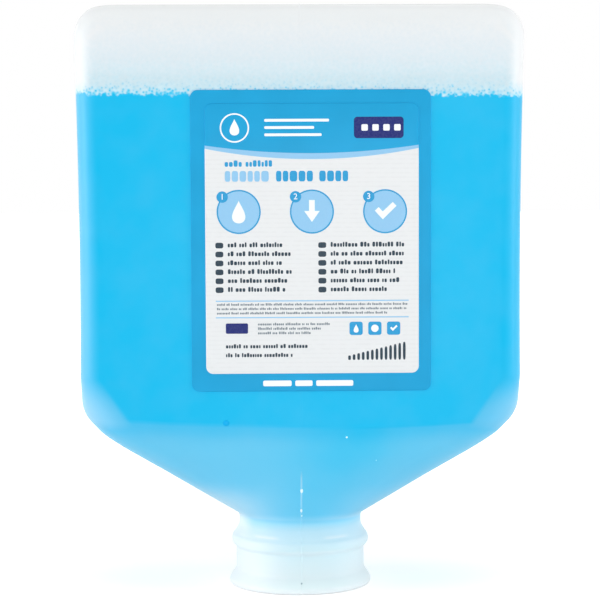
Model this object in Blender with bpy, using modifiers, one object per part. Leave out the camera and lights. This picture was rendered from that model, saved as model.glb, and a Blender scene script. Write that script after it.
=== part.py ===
"""Hand soap refill pack, two litres, for a wall dispenser.

A blown translucent bottle stands on its mouth, neck down, as it hangs in a
dispenser. It holds liquid soap up to a fill line, with a layer of froth on
top, a moulded plug in the neck and a two-layer label on the front. The front
faces -Y. The origin lies on the neck's axis, in the plane of the mouth.
"""
import math

import bmesh
import bpy
import numpy as np

# Bottle body, in metres
HEIGHT = 0.2420
BODY_WIDTH = 0.1824
BODY_DEPTH = 0.0760
SIDE_DRAFT = 0.0010
SIDE_WAIST = 0.0008
WALL = 0.0010
EDGE_RADIUS = 0.0085

# Closed base, which is uppermost here
BASE_EDGE_WIDTH = 0.0110
BASE_EDGE_DEPTH = 0.0070
BASE_EDGE_HEIGHT = 0.0130
BASE_RIM = 0.0040
BASE_RECESS = 0.0025
BASE_RECESS_SLOPE = 0.0050

# Shoulder between the body and the neck
SHOULDER_HEIGHT_SIDE = 0.0736
SHOULDER_HEIGHT_FRONT = 0.0722
SHOULDER_SAG = 0.0024
SHOULDER_SAG_REACH = 8
SHOULDER_CORNER = 0.0120
SHOULDER_CREASE = 0.0030
SHOULDER_BULGE_SIDE = 0.0025
SHOULDER_BULGE_FRONT = 0.0006
SHOULDER_BULGE_SKEW = 0.6
CORNER_CUT_HEIGHT = 0.0910
CORNER_CUT_WIDTH = 0.0683

# Neck and its finish, the thicker ring with the bead and the lip
NECK_RADIUS = 0.0258
NECK_ROOT_HEIGHT = 0.0299
NECK_ROOT_FILLET = 0.0030
FINISH_HEIGHT = 0.0262
FINISH_WALL = 0.0022
BEAD_HEIGHT = 0.0190
BEAD_RADIUS = 0.0290
BEAD_ROUNDING = 0.0021
BEAD_HALF_HEIGHT = 0.0029
BEAD_FOOT = 0.0038
BEAD_ARC_TOP = math.radians(62)
BEAD_ARC_BOTTOM = math.radians(-74)
LOWER_NECK_RADIUS = 0.0271
LIP_RADIUS = 0.0301
LIP_HEIGHT = 0.0068
LIP_ROUNDING = 0.0009
LIP_EASE = 0.15
SEAT_RADIUS = 0.0254
SEAT_DEPTH = 0.0022

# Mould seam, a low ridge right round the middle of the bottle
SEAM_WIDTH = 0.0012
SEAM_RIDGE = 0.0002

# Contents, with the empty height from the fill line up to the base
HEADSPACE = 0.0370
FROTH_THICKNESS = 0.0092

# Neck plug
PLUG_HEIGHT = 0.0283
PLUG_WALL = 0.0014
PLUG_END = 0.0012
PLUG_LIP_THICKNESS = 0.0016
PLUG_RIB = 0.0004
PLUG_RIB_SPACING = 0.0050
PLUG_RIB_COUNT = 4
PLUG_ROUNDING = 0.0010
TEAR_DISC_RADIUS = 0.0090
TEAR_GROOVE_WIDTH = 0.0008
TEAR_GROOVE_DEPTH = 0.0007

# Label on the front
LABEL_WIDTH = 0.0968
LABEL_HEIGHT = 0.1217
LABEL_CENTRE_X = 0.0042
LABEL_TOP_MARGIN = 0.03455
LABEL_CORNER = 0.0031
LABEL_THICKNESS = 0.0002
LEAFLET_WIDTH = 0.0861
LEAFLET_HEIGHT = 0.1090
LEAFLET_SHIFT_X = 0.0004
LEAFLET_SHIFT_Z = 0.0009
LEAFLET_CORNER = 0.0029
LEAFLET_THICKNESS = 0.0003

# Play between neighbouring pieces
CLEARANCE = 0.0003

# Fineness of the mesh
FLAT_STEPS = 4
CORNER_STEPS = 6
SIDE_STEPS = 2
WALL_STEPS = 4
TURN_STEPS = 48

# Sizes that follow
SEAM_HALF = SEAM_WIDTH / 2
FINISH_BORE = NECK_RADIUS - FINISH_WALL
PLUG_RADIUS = FINISH_BORE - CLEARANCE - PLUG_RIB
FRONT_FACE_Y = -BODY_DEPTH / 2
FILL_HEIGHT = HEIGHT - HEADSPACE
LABEL_CENTRE_Z = HEIGHT - LABEL_TOP_MARGIN - LABEL_HEIGHT / 2


def clear_scene():
    for scene_object in list(bpy.data.objects):
        bpy.data.objects.remove(scene_object, do_unlink=True)


def make_collection(name):
    collection = bpy.data.collections.new(name)
    bpy.context.scene.collection.children.link(collection)
    return collection


def make_material(name, colour, roughness, alpha=1.0):
    material = bpy.data.materials.new(name)
    material.use_nodes = True
    shader = material.node_tree.nodes["Principled BSDF"]
    shader.inputs["Base Color"].default_value = (*colour, 1.0)
    shader.inputs["Roughness"].default_value = roughness
    shader.inputs["Metallic"].default_value = 0.0
    shader.inputs["Alpha"].default_value = alpha
    material.diffuse_color = (*colour, alpha)
    return material


def add_mesh_object(name, mesh, collection, material):
    mesh_object = bpy.data.objects.new(name, mesh)
    collection.objects.link(mesh_object)
    mesh.materials.append(material)
    mesh.shade_smooth()
    mesh.set_sharp_from_angle(angle=math.radians(35))
    return mesh_object


def fillet(before, vertex, after, radius, steps):
    """Points of the arc that rounds a corner of a profile."""
    before, vertex, after = (np.array(point, float) for point in (before, vertex, after))
    towards_before = (before - vertex) / np.linalg.norm(before - vertex)
    towards_after = (after - vertex) / np.linalg.norm(after - vertex)
    half_angle = math.acos(float(towards_before @ towards_after)) / 2
    tangent_length = radius / math.tan(half_angle)
    bisector = towards_before + towards_after
    centre = vertex + bisector / np.linalg.norm(bisector) * radius / math.sin(half_angle)
    start = vertex + towards_before * tangent_length - centre
    end = vertex + towards_after * tangent_length - centre
    sweep = math.pi - 2 * half_angle
    points = []
    for step in range(steps + 1):
        share = step / steps
        first = math.sin((1 - share) * sweep) / math.sin(sweep)
        second = math.sin(share * sweep) / math.sin(sweep)
        points.append(centre + first * start + second * end)
    return points


def shoulder_profile(half, shoulder_height, corner_radius, bulge, steps=16):
    """Half size against height, from the body's wall over the shoulder to the neck."""
    wall_point = (half, HEIGHT)
    shoulder_point = (half, shoulder_height)
    root_point = (NECK_RADIUS, NECK_ROOT_HEIGHT)
    neck_point = (NECK_RADIUS, 0.0)
    upper = fillet(wall_point, shoulder_point, root_point, corner_radius, steps)
    lower = fillet(shoulder_point, root_point, neck_point, NECK_ROOT_FILLET, steps)
    slope = np.array(lower[0]) - np.array(upper[-1])
    outward = np.array((-slope[1], slope[0])) / np.linalg.norm(slope)
    points = list(upper)
    for step in range(1, steps):
        share = step / steps
        eased = share ** SHOULDER_BULGE_SKEW
        arch = 4 * eased * (1 - eased) * bulge
        points.append(upper[-1] + slope * share + outward * arch)
    points.extend(lower)
    heights = [point[1] for point in reversed(points)]
    halves = [point[0] for point in reversed(points)]
    return heights, halves


SIDE_PROFILE = shoulder_profile(
    (BODY_WIDTH - 2 * SIDE_DRAFT) / 2, SHOULDER_HEIGHT_SIDE, SHOULDER_CORNER, SHOULDER_BULGE_SIDE
)
FRONT_PROFILE = shoulder_profile(
    BODY_DEPTH / 2, SHOULDER_HEIGHT_FRONT, SHOULDER_CREASE, SHOULDER_BULGE_FRONT
)


def half_width(height):
    """Half the bottle's width at a height; the sides draw in a little at the waist."""
    shoulder_start = SIDE_PROFILE[0][-1]
    share = (height - shoulder_start) / (HEIGHT - BASE_EDGE_HEIGHT - shoulder_start)
    share = min(max(share, 0.0), 1.0)
    waist = 4 * share * (1 - share) * SIDE_WAIST
    return float(np.interp(height, *SIDE_PROFILE)) + SIDE_DRAFT * share - waist


def half_depth(height):
    return float(np.interp(height, *FRONT_PROFILE))


def flat_half(height):
    """Half the width of the flat front at a height, cut off slantwise at its lower corners."""
    full_flat = half_width(height) - EDGE_RADIUS
    if height >= CORNER_CUT_HEIGHT:
        return full_flat
    if height >= SHOULDER_HEIGHT_FRONT:
        share = (height - SHOULDER_HEIGHT_FRONT) / (CORNER_CUT_HEIGHT - SHOULDER_HEIGHT_FRONT)
        upper_flat = half_width(CORNER_CUT_HEIGHT) - EDGE_RADIUS
        return CORNER_CUT_WIDTH + (upper_flat - CORNER_CUT_WIDTH) * share
    spread = half_width(SHOULDER_HEIGHT_FRONT) - NECK_RADIUS
    return CORNER_CUT_WIDTH * max(half_width(height) - NECK_RADIUS, 0.0) / spread


def smooth_share(value, low, high):
    share = min(max((value - low) / (high - low), 0.0), 1.0)
    return share * share * (3 - 2 * share)


def quarter_section(half_x, half_y, flat, roundness):
    """A quarter of a level section, from the seam at the front to the middle of the side."""
    corner = half_x - flat
    side_flat = half_y - corner
    box_points = []
    for step in range(FLAT_STEPS):
        box_points.append((SEAM_HALF + (flat - SEAM_HALF) * step / FLAT_STEPS, -half_y))
    for step in range(CORNER_STEPS + 1):
        angle = math.pi / 2 * step / CORNER_STEPS
        box_points.append((flat + corner * math.sin(angle), -side_flat - corner * math.cos(angle)))
    for step in range(1, SIDE_STEPS + 1):
        box_points.append((half_x, -side_flat * (1 - step / SIDE_STEPS)))
    first_angle = math.asin(SEAM_HALF / half_x)
    points = []
    for index, (x, y) in enumerate(box_points):
        angle = first_angle + (math.pi / 2 - first_angle) * index / (len(box_points) - 1)
        oval_x = half_x * math.sin(angle)
        oval_y = -half_y * math.cos(angle)
        points.append((x + (oval_x - x) * roundness, y + (oval_y - y) * roundness))
    return points


def ring_points(half_x, half_y, flat, roundness, height, sag, ridge_out, ridge_up):
    """A whole section, starting at the front's seam and running by way of +X."""
    quarter = quarter_section(half_x, half_y, flat, roundness)
    right = quarter + [(x, -y) for x, y in reversed(quarter[:-1])]
    left = [(-x, y) for x, y in reversed(right)]
    front_seam = (0.0, -half_y - ridge_out)
    back_seam = (0.0, half_y + ridge_out)
    points = []
    for x, y in [front_seam] + right + [back_seam] + left:
        reach = min(abs(x) / flat, 1.0) if flat > 0 else 1.0
        face_share = min(abs(y) / half_y, 1.0) ** SHOULDER_SAG_REACH
        lift = ridge_up if x == 0.0 else 0.0
        points.append((x, y, height - sag * (1 - reach * reach) * face_share + lift))
    return points


def base_rings(ridge):
    """Sections of the base, from inside its recess out over the rim to the body's wall."""
    full_x = half_width(HEIGHT)
    full_y = half_depth(HEIGHT)
    rings = []
    slope_inset = BASE_RIM + BASE_RECESS_SLOPE
    for inset, drop in ((slope_inset, BASE_RECESS), (BASE_RIM, 0.0)):
        half_x = full_x - BASE_EDGE_WIDTH - inset
        half_y = full_y - BASE_EDGE_DEPTH - inset
        rings.append((half_x, half_y, half_x - EDGE_RADIUS, 0.0, HEIGHT - drop, 0.0, 0.0, ridge))
    edge_steps = 6
    for step in range(edge_steps + 1):
        angle = math.pi / 2 * step / edge_steps
        half_x = full_x - BASE_EDGE_WIDTH * (1 - math.sin(angle))
        half_y = full_y - BASE_EDGE_DEPTH * (1 - math.sin(angle))
        height = HEIGHT - BASE_EDGE_HEIGHT * (1 - math.cos(angle))
        rings.append((
            half_x, half_y, half_x - EDGE_RADIUS, 0.0, height, 0.0,
            ridge * math.sin(angle), ridge * math.cos(angle),
        ))
    return rings


def wall_rings(ridge, lowest):
    """Sections of the body, the shoulder and the neck, from the top down."""
    wall_top = HEIGHT - BASE_EDGE_HEIGHT
    wall_bottom = CORNER_CUT_HEIGHT + EDGE_RADIUS
    corner_top = SHOULDER_HEIGHT_SIDE + SHOULDER_CORNER / 2
    heights = []
    for step in range(1, WALL_STEPS + 1):
        heights.append(wall_top + (wall_bottom - wall_top) * step / WALL_STEPS)
    heights.append(CORNER_CUT_HEIGHT)
    for step in range(5):
        share = step / 4
        heights.append(corner_top + (SHOULDER_HEIGHT_FRONT + SHOULDER_CREASE - corner_top) * share)
    heights.append(SHOULDER_HEIGHT_FRONT)
    heights.append(SHOULDER_HEIGHT_FRONT - SHOULDER_CREASE)
    shoulder_top = heights[-1]
    shoulder_end = NECK_ROOT_HEIGHT + NECK_ROOT_FILLET / 2
    shoulder_steps = 7
    for step in range(1, shoulder_steps + 1):
        heights.append(shoulder_top + (shoulder_end - shoulder_top) * step / shoulder_steps)
    heights.append(NECK_ROOT_HEIGHT)
    heights.append(NECK_ROOT_HEIGHT - NECK_ROOT_FILLET / 2)
    heights.append(lowest)
    rings = []
    for height in heights:
        roundness = 1 - smooth_share(height, NECK_ROOT_HEIGHT, SHOULDER_HEIGHT_FRONT)
        sag_share = smooth_share(height, NECK_ROOT_HEIGHT, SHOULDER_HEIGHT_FRONT)
        sag_share *= 1 - smooth_share(height, SHOULDER_HEIGHT_FRONT, CORNER_CUT_HEIGHT + EDGE_RADIUS)
        rings.append((
            half_width(height), half_depth(height), flat_half(height), roundness, height,
            SHOULDER_SAG * sag_share, ridge, 0.0,
        ))
    return rings


def bottle_surface(ridge, lowest):
    """The bottle's outer surface, open at the neck's lower end."""
    surface = bmesh.new()
    rings = []
    for section in base_rings(ridge) + wall_rings(ridge, lowest):
        rings.append([surface.verts.new(point) for point in ring_points(*section)])
    columns = len(rings[0])
    for upper, lower in zip(rings, rings[1:]):
        for column in range(columns):
            after = (column + 1) % columns
            surface.faces.new((upper[column], lower[column], lower[after], upper[after]))
    centre = rings[0]
    half_columns = columns // 2
    last_strip = FLAT_STEPS + CORNER_STEPS
    for column in range(last_strip):
        surface.faces.new([
            centre[index]
            for index in (column, column + 1, half_columns - column - 1, half_columns - column)
        ])
        surface.faces.new([
            centre[index]
            for index in (-column - 1, -column, half_columns + column, half_columns + column + 1)
        ])
    surface.faces.new(centre[last_strip:half_columns - last_strip + 1])
    surface.faces.new(centre[half_columns + last_strip:columns - last_strip + 1])
    return surface


def finish_profile():
    """Closed outline of the neck's finish, which is turned about the neck's axis."""
    inside_wall = NECK_RADIUS - WALL / 4
    bead_steps = 8
    points = [
        (inside_wall, FINISH_HEIGHT),
        (NECK_RADIUS + WALL / 4, FINISH_HEIGHT - WALL),
    ]
    bead_centre = BEAD_RADIUS - BEAD_ROUNDING
    for step in range(bead_steps + 1):
        angle = BEAD_ARC_TOP + (BEAD_ARC_BOTTOM - BEAD_ARC_TOP) * step / bead_steps
        radius = bead_centre + BEAD_ROUNDING * math.cos(angle)
        points.append((radius, BEAD_HEIGHT + BEAD_HALF_HEIGHT * math.sin(angle)))
    points.append((LOWER_NECK_RADIUS, BEAD_HEIGHT - BEAD_FOOT))
    flare = LIP_RADIUS - LOWER_NECK_RADIUS
    flare_height = LIP_HEIGHT - 2 * LIP_ROUNDING
    lip_steps = 6
    for step in range(lip_steps + 1):
        share = step / lip_steps
        radius = LOWER_NECK_RADIUS + flare * smooth_share(share, -LIP_EASE, 1 + LIP_EASE)
        points.append((radius, LIP_HEIGHT - flare_height * share))
    round_steps = 4
    for step in range(1, round_steps + 1):
        angle = math.pi / 2 * step / round_steps
        radius = LIP_RADIUS - LIP_ROUNDING * (1 - math.cos(angle))
        points.append((radius, 2 * LIP_ROUNDING * (1 - math.sin(angle))))
    points += [
        (SEAT_RADIUS, 0.0),
        (SEAT_RADIUS, SEAT_DEPTH),
        (FINISH_BORE, SEAT_DEPTH),
        (FINISH_BORE, FINISH_HEIGHT - WALL / 2),
        (FINISH_BORE + WALL / 2, FINISH_HEIGHT),
    ]
    return points


def plug_profile():
    """Closed outline of the plug, a cup with its closed end up and a lip at the mouth."""
    lip_bottom = SEAT_DEPTH - CLEARANCE - PLUG_LIP_THICKNESS
    lip_top = SEAT_DEPTH - CLEARANCE
    lip_radius = SEAT_RADIUS - CLEARANCE
    socket_radius = PLUG_RADIUS - PLUG_WALL
    groove_inner = TEAR_DISC_RADIUS - TEAR_GROOVE_WIDTH
    points = [(groove_inner, PLUG_HEIGHT), (groove_inner, PLUG_HEIGHT - TEAR_GROOVE_DEPTH)]
    points += [(TEAR_DISC_RADIUS, PLUG_HEIGHT - TEAR_GROOVE_DEPTH), (TEAR_DISC_RADIUS, PLUG_HEIGHT)]
    round_steps = 3
    for step in range(round_steps + 1):
        angle = math.pi / 2 * (1 - step / round_steps)
        radius = PLUG_RADIUS - PLUG_ROUNDING * (1 - math.cos(angle))
        points.append((radius, PLUG_HEIGHT - PLUG_ROUNDING * (1 - math.sin(angle))))
    top_rib = FINISH_HEIGHT - PLUG_RIB_SPACING / 2
    rib_half_height = 2 * PLUG_RIB
    for rib in range(PLUG_RIB_COUNT):
        height = top_rib - rib * PLUG_RIB_SPACING
        points += [
            (PLUG_RADIUS, height + rib_half_height),
            (PLUG_RADIUS + PLUG_RIB, height),
            (PLUG_RADIUS, height - rib_half_height),
        ]
    points += [
        (PLUG_RADIUS, lip_top),
        (lip_radius, lip_top),
        (lip_radius, lip_bottom),
        (socket_radius, lip_bottom),
        (socket_radius, PLUG_HEIGHT - PLUG_END - PLUG_ROUNDING),
        (socket_radius - PLUG_ROUNDING, PLUG_HEIGHT - PLUG_END),
    ]
    return points


def turned_object(name, points, closed, collection, material):
    """A profile at +X, turned about the neck's axis by a Screw modifier."""
    mesh = bpy.data.meshes.new(name)
    edges = [(index, index + 1) for index in range(len(points) - 1)]
    if closed:
        edges.append((len(points) - 1, 0))
    mesh.from_pydata([(radius, 0.0, height) for radius, height in points], edges, [])
    turned = bpy.data.objects.new(name, mesh)
    collection.objects.link(turned)
    mesh.materials.append(material)
    screw = turned.modifiers.new("turn", "SCREW")
    screw.steps = TURN_STEPS
    screw.render_steps = TURN_STEPS
    screw.use_merge_vertices = True
    screw.merge_threshold = 0.00001
    screw.use_smooth_shade = True
    return turned


def make_bottle(collection, cutters, material):
    """Blown shell with its thicker moulded finish at the neck."""
    surface = bottle_surface(SEAM_RIDGE, LIP_HEIGHT)
    mesh = bpy.data.meshes.new("bottle")
    surface.to_mesh(mesh)
    surface.free()
    bottle = add_mesh_object("bottle", mesh, collection, material)
    shell = bottle.modifiers.new("wall", "SOLIDIFY")
    shell.thickness = WALL
    shell.offset = -1.0
    shell.use_even_offset = True
    finish = turned_object("neck_finish", finish_profile(), True, cutters, material)
    finish.hide_render = True
    finish.display_type = "WIRE"
    join = bottle.modifiers.new("neck finish", "BOOLEAN")
    join.operation = "UNION"
    join.object = finish
    return bottle


def make_filling(name, bottom, top, collection, material):
    """Solid that fills the bottle between two levels, clear of its wall."""
    surface = bottle_surface(0.0, bottom - CLEARANCE)
    surface.normal_update()
    inset = WALL + CLEARANCE
    moved = [vertex.co - vertex.normal * inset * vertex.calc_shell_factor() for vertex in surface.verts]
    for vertex, place in zip(surface.verts, moved):
        vertex.co = place
    for level, keep_below in ((top, True), (bottom, False)):
        geometry = surface.verts[:] + surface.edges[:] + surface.faces[:]
        bmesh.ops.bisect_plane(
            surface, geom=geometry, plane_co=(0, 0, level), plane_no=(0, 0, 1),
            clear_outer=keep_below, clear_inner=not keep_below,
        )
    border = [edge for edge in surface.edges if edge.is_boundary]
    bmesh.ops.holes_fill(surface, edges=border, sides=0)
    bmesh.ops.recalc_face_normals(surface, faces=surface.faces[:])
    mesh = bpy.data.meshes.new(name)
    surface.to_mesh(mesh)
    surface.free()
    return add_mesh_object(name, mesh, collection, material)


def make_plug(collection, material):
    """Neck plug with sealing ribs, a lip and a tear-out disc in its closed end."""
    points = plug_profile()
    ends = [(0.0, PLUG_HEIGHT)] + points + [(0.0, PLUG_HEIGHT - PLUG_END)]
    return turned_object("neck_plug", ends, False, collection, material)


def make_label(name, width, height, corner, centre, back_y, thickness, collection, material):
    """Flat sheet with rounded corners, facing the front."""
    curve = bpy.data.curves.new(name, "CURVE")
    curve.dimensions = "2D"
    curve.fill_mode = "BOTH"
    curve.extrude = thickness / 2
    corner_steps = 5
    points = []
    for quadrant, (side_x, side_z) in enumerate(((1, 1), (-1, 1), (-1, -1), (1, -1))):
        for step in range(corner_steps + 1):
            angle = math.pi / 2 * (quadrant + step / corner_steps)
            points.append((
                side_x * (width / 2 - corner) + corner * math.cos(angle),
                side_z * (height / 2 - corner) + corner * math.sin(angle),
            ))
    outline = curve.splines.new("POLY")
    outline.points.add(len(points) - 1)
    for point, (x, z) in zip(outline.points, points):
        point.co = (x, z, 0.0, 1.0)
    outline.use_cyclic_u = True
    label = bpy.data.objects.new(name, curve)
    collection.objects.link(label)
    curve.materials.append(material)
    label.rotation_euler = (math.radians(90), 0, 0)
    label.location = (centre[0], back_y - thickness / 2, centre[1])
    return label


def main():
    clear_scene()
    pack = make_collection("hand_soap_refill_pack")
    cutters = make_collection("cutters")
    bottle_plastic = make_material("milky_blown_plastic", (0.86, 0.94, 0.97), 0.32, 0.35)
    liquid = make_material("cyan_soap", (0.02, 0.54, 0.91), 0.12)
    foam = make_material("soap_froth", (0.78, 0.90, 0.96), 0.55)
    plug_plastic = make_material("white_moulded_plastic", (0.80, 0.87, 0.90), 0.40)
    label_film = make_material("blue_printed_film", (0.02, 0.38, 0.74), 0.35)
    leaflet_paper = make_material("white_printed_leaflet", (0.83, 0.85, 0.86), 0.45)

    make_bottle(pack, cutters, bottle_plastic)
    make_filling("soap", PLUG_HEIGHT + CLEARANCE, FILL_HEIGHT, pack, liquid)
    froth_bottom = FILL_HEIGHT + CLEARANCE
    make_filling("froth", froth_bottom, froth_bottom + FROTH_THICKNESS, pack, foam)
    make_plug(pack, plug_plastic)

    label_back = FRONT_FACE_Y - CLEARANCE
    label_centre = (LABEL_CENTRE_X, LABEL_CENTRE_Z)
    make_label(
        "label_base", LABEL_WIDTH, LABEL_HEIGHT, LABEL_CORNER, label_centre,
        label_back, LABEL_THICKNESS, pack, label_film,
    )
    leaflet_back = label_back - LABEL_THICKNESS - CLEARANCE
    leaflet_centre = (LABEL_CENTRE_X + LEAFLET_SHIFT_X, LABEL_CENTRE_Z + LEAFLET_SHIFT_Z)
    make_label(
        "label_leaflet", LEAFLET_WIDTH, LEAFLET_HEIGHT, LEAFLET_CORNER, leaflet_centre,
        leaflet_back, LEAFLET_THICKNESS, pack, leaflet_paper,
    )


main()
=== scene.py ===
"""Dresses a two litre hand soap refill pack: the milky blown bottle, the
cyan soap with its froth, the plug in the neck and the printed label. The
script is laid out as an add-on and run as a script.
"""
import math

import bmesh
import bpy
import numpy as np
from bpy.props import FloatProperty, FloatVectorProperty, IntProperty, PointerProperty
from mathutils import Euler, Matrix, Quaternion, Vector
from mathutils.bvhtree import BVHTree


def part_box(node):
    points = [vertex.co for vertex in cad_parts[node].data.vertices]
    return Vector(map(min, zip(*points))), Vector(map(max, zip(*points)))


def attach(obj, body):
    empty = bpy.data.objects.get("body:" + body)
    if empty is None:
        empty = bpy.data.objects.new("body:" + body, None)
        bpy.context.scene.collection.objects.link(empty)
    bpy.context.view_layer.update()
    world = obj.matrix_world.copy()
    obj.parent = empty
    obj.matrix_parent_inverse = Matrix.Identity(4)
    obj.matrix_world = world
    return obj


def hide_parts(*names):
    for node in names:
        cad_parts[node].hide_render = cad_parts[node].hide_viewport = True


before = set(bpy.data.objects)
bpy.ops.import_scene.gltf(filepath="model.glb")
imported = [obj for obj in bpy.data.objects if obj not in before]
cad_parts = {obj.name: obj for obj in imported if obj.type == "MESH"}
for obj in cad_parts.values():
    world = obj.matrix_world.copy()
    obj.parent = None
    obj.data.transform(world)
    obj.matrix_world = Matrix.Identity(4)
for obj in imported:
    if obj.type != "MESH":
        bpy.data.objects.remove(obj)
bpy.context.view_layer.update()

bl_info = {
    "name": "Hand Soap Refill Pack",
    "version": (1, 0, 0),
    "blender": (4, 5, 0),
    "location": "View3D > Sidebar > Soap Pack",
    "description": "Builds the shell, contents and label of a hand soap refill pack",
    "category": "Add Mesh",
}

MM = 0.001
bottle_low, bottle_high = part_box("bottle")
soap_low, soap_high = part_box("soap")
froth_low, froth_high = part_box("froth")
plug_low, plug_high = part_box("neck_plug")
label_low, label_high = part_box("label_base")
leaflet_low, leaflet_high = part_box("label_leaflet")


# Helpers for colours, nodes and meshes

def linear(code):
    """A hex sRGB colour as linear red, green and blue."""
    channels = [int(code[start:start + 2], 16) / 255 for start in (1, 3, 5)]
    return tuple(
        value / 12.92 if value <= 0.04045 else ((value + 0.055) / 1.055) ** 2.4
        for value in channels
    )


def feed(tree, node, inputs):
    """Sets a node's inputs, or links them to a socket or to another node's first output."""
    for key, value in inputs.items():
        if isinstance(value, bpy.types.Node):
            value = next(socket for socket in value.outputs if socket.enabled)
        if isinstance(value, bpy.types.NodeSocket):
            tree.links.new(value, node.inputs[key])
        else:
            node.inputs[key].default_value = value


def add_node(tree, kind, inputs=None, stops=(), **settings):
    """Adds a node with its settings, its inputs and, on a colour ramp, its stops."""
    made = tree.nodes.new(kind)
    for name, value in settings.items():
        setattr(made, name, value)
    feed(tree, made, inputs or {})
    for _ in stops[2:]:
        made.color_ramp.elements.new(0.5)
    for index, (place, tone) in enumerate(stops):
        made.color_ramp.elements[index].position = place
        made.color_ramp.elements[index].color = (*tone, 1.0)
    return made


def smooth_share(value, low, high):
    """0 below low, 1 above high, and a smooth step between."""
    share = min(max((value - low) / (high - low), 0.0), 1.0)
    return share * share * (3 - 2 * share)


def bell(value, centre, width):
    return math.exp(-(((value - centre) / width) ** 2))


def shares(steps):
    """The ends and the even steps between 0 and 1."""
    return [step / steps for step in range(steps + 1)]


def new_object(name, data):
    made = bpy.data.objects.new(name, data)
    bpy.context.scene.collection.objects.link(made)
    return made


def plain_mesh(name, surface):
    mesh = bpy.data.meshes.new(name)
    surface.to_mesh(mesh)
    surface.free()
    return mesh


def finish_piece(piece, slot, *nodes):
    """Says which body carries a piece and which nodes it stands for. The slot, for its finish, is not
    used.
    """
    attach(piece, "root")
    if nodes:
        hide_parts(*nodes)


def new_geometry_tree(name, inputs):
    """A Geometry Nodes tree with a geometry in and out and named inputs."""
    tree = bpy.data.node_groups.new(name, "GeometryNodeTree")
    tree.interface.new_socket("Geometry", in_out="INPUT", socket_type="NodeSocketGeometry")
    tree.interface.new_socket("Geometry", in_out="OUTPUT", socket_type="NodeSocketGeometry")
    for label, kind, value in inputs:
        socket = tree.interface.new_socket(label, in_out="INPUT", socket_type=kind)
        socket.default_value = value
    return tree, add_node(tree, "NodeGroupInput").outputs


def end_geometry_tree(tree, geometry, material):
    """Ends a tree with real geometry that carries its material."""
    realized = add_node(tree, "GeometryNodeRealizeInstances", {"Geometry": geometry})
    painted = add_node(
        tree, "GeometryNodeSetMaterial", {"Geometry": realized, "Material": material})
    add_node(tree, "NodeGroupOutput", {"Geometry": painted})
    return tree


def grow(name, base, tree, values):
    """Runs a Geometry Nodes tree on a mesh and keeps the result as a plain mesh."""
    piece = new_object(name, base)
    modifier = piece.modifiers.new(name, "NODES")
    modifier.node_group = tree
    identifiers = {
        item.name: item.identifier
        for item in tree.interface.items_tree
        if item.item_type == "SOCKET" and item.in_out == "INPUT"
    }
    for label, value in values.items():
        modifier[identifiers[label]] = value
    depsgraph = bpy.context.evaluated_depsgraph_get()
    grown = bpy.data.meshes.new_from_object(piece.evaluated_get(depsgraph), depsgraph=depsgraph)
    piece.modifiers.remove(modifier)
    piece.data = grown
    return piece


# Settings that a user would change

def length(name, millimetres, description):
    return FloatProperty(
        name=name, description=description, default=millimetres * MM, unit="LENGTH")


def colour(name, code, description):
    return FloatVectorProperty(
        name=name, description=description, default=linear(code), size=3, min=0.0, max=1.0,
        subtype="COLOR")


class BottleSettings(bpy.types.PropertyGroup):
    """Sizes of the blown bottle and its neck."""

    wall: length("Wall", 1.0, "Thickness of the blown wall")
    edge_radius: length("Edge radius", 8.5, "Rounding of the upright edges")
    base_edge_width: length("Base edge width", 11.0, "Rounding of the base edge, seen from the front")
    base_edge_depth: length("Base edge depth", 7.0, "Rounding of the base edge, seen from the side")
    base_edge_height: length("Base edge height", 13.0, "Height over which the base edge rounds off")
    base_rim: length("Base rim", 4.0, "Width of the flat rim round the base's recess")
    base_recess: length("Base recess", 2.5, "Depth of the recess in the base")
    side_draft: length("Side draft", 1.0, "How much narrower each side is at the shoulder")
    shoulder_side: length("Side shoulder height", 73.6, "Height of the shoulder's corner at the sides")
    shoulder_front: length("Front shoulder height", 72.2, "Height of the crease under the front")
    shoulder_sag: length("Crease sag", 2.4, "How far the crease hangs down in the middle")
    shoulder_corner: length("Shoulder corner", 12.0, "Rounding of the shoulder's corner at the sides")
    shoulder_crease: length("Crease rounding", 3.0, "Rounding of the crease under the front")
    corner_cut_height: length(
        "Corner cut height", 91.0, "Height at which the front's corners start to be cut off")
    corner_cut_width: length("Corner cut width", 68.3, "Half the flat front's width at the crease")
    neck_radius: length("Neck radius", 25.8, "Radius of the neck above its bead")
    neck_root: length("Neck root", 29.9, "Height at which the shoulder meets the neck")
    finish_height: length("Finish height", 26.2, "Height of the neck's thicker ring")
    finish_wall: length("Finish wall", 2.2, "Thickness of the neck's thicker ring")
    bead_height: length("Bead height", 19.0, "Height of the bead's middle")
    bead_radius: length("Bead radius", 29.0, "Outer radius of the bead")
    lower_neck_radius: length(
        "Lower neck radius", 27.1, "Radius of the neck between the bead and the lip")
    lip_radius: length("Lip radius", 30.1, "Outer radius of the lip at the mouth")
    seam_width: length("Seam width", 1.2, "Width of the mould seam")
    seam_ridge: length("Seam ridge", 0.2, "How far the mould seam stands out")
    milk_colour: colour("Milk colour", "#f4f9fb", "White of the milky plastic where it is thick")
    stain_colour: colour("Stain colour", "#12bff0", "Blue that the soap behind it gives the wall")


class ContentsSettings(bpy.types.PropertyGroup):
    """The soap, its froth and the plug."""

    soap_colour: colour("Soap colour", "#0ac0f0", "Colour of the liquid seen through its full depth")
    froth_colour: colour("Froth colour", "#e6f2f7", "Colour of the froth")
    meniscus: length("Meniscus", 0.8, "How far the liquid climbs the wall")
    bubble_density: FloatProperty(
        name="Bubble density", description="Bubbles on each square metre of the froth's side",
        default=240000.0, min=0.0)
    bubble_radius: length("Bubble radius", 0.75, "Radius of a large bubble")
    bubble_seed: IntProperty(
        name="Bubble seed", description="Seed that scatters the bubbles", default=7)


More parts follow.
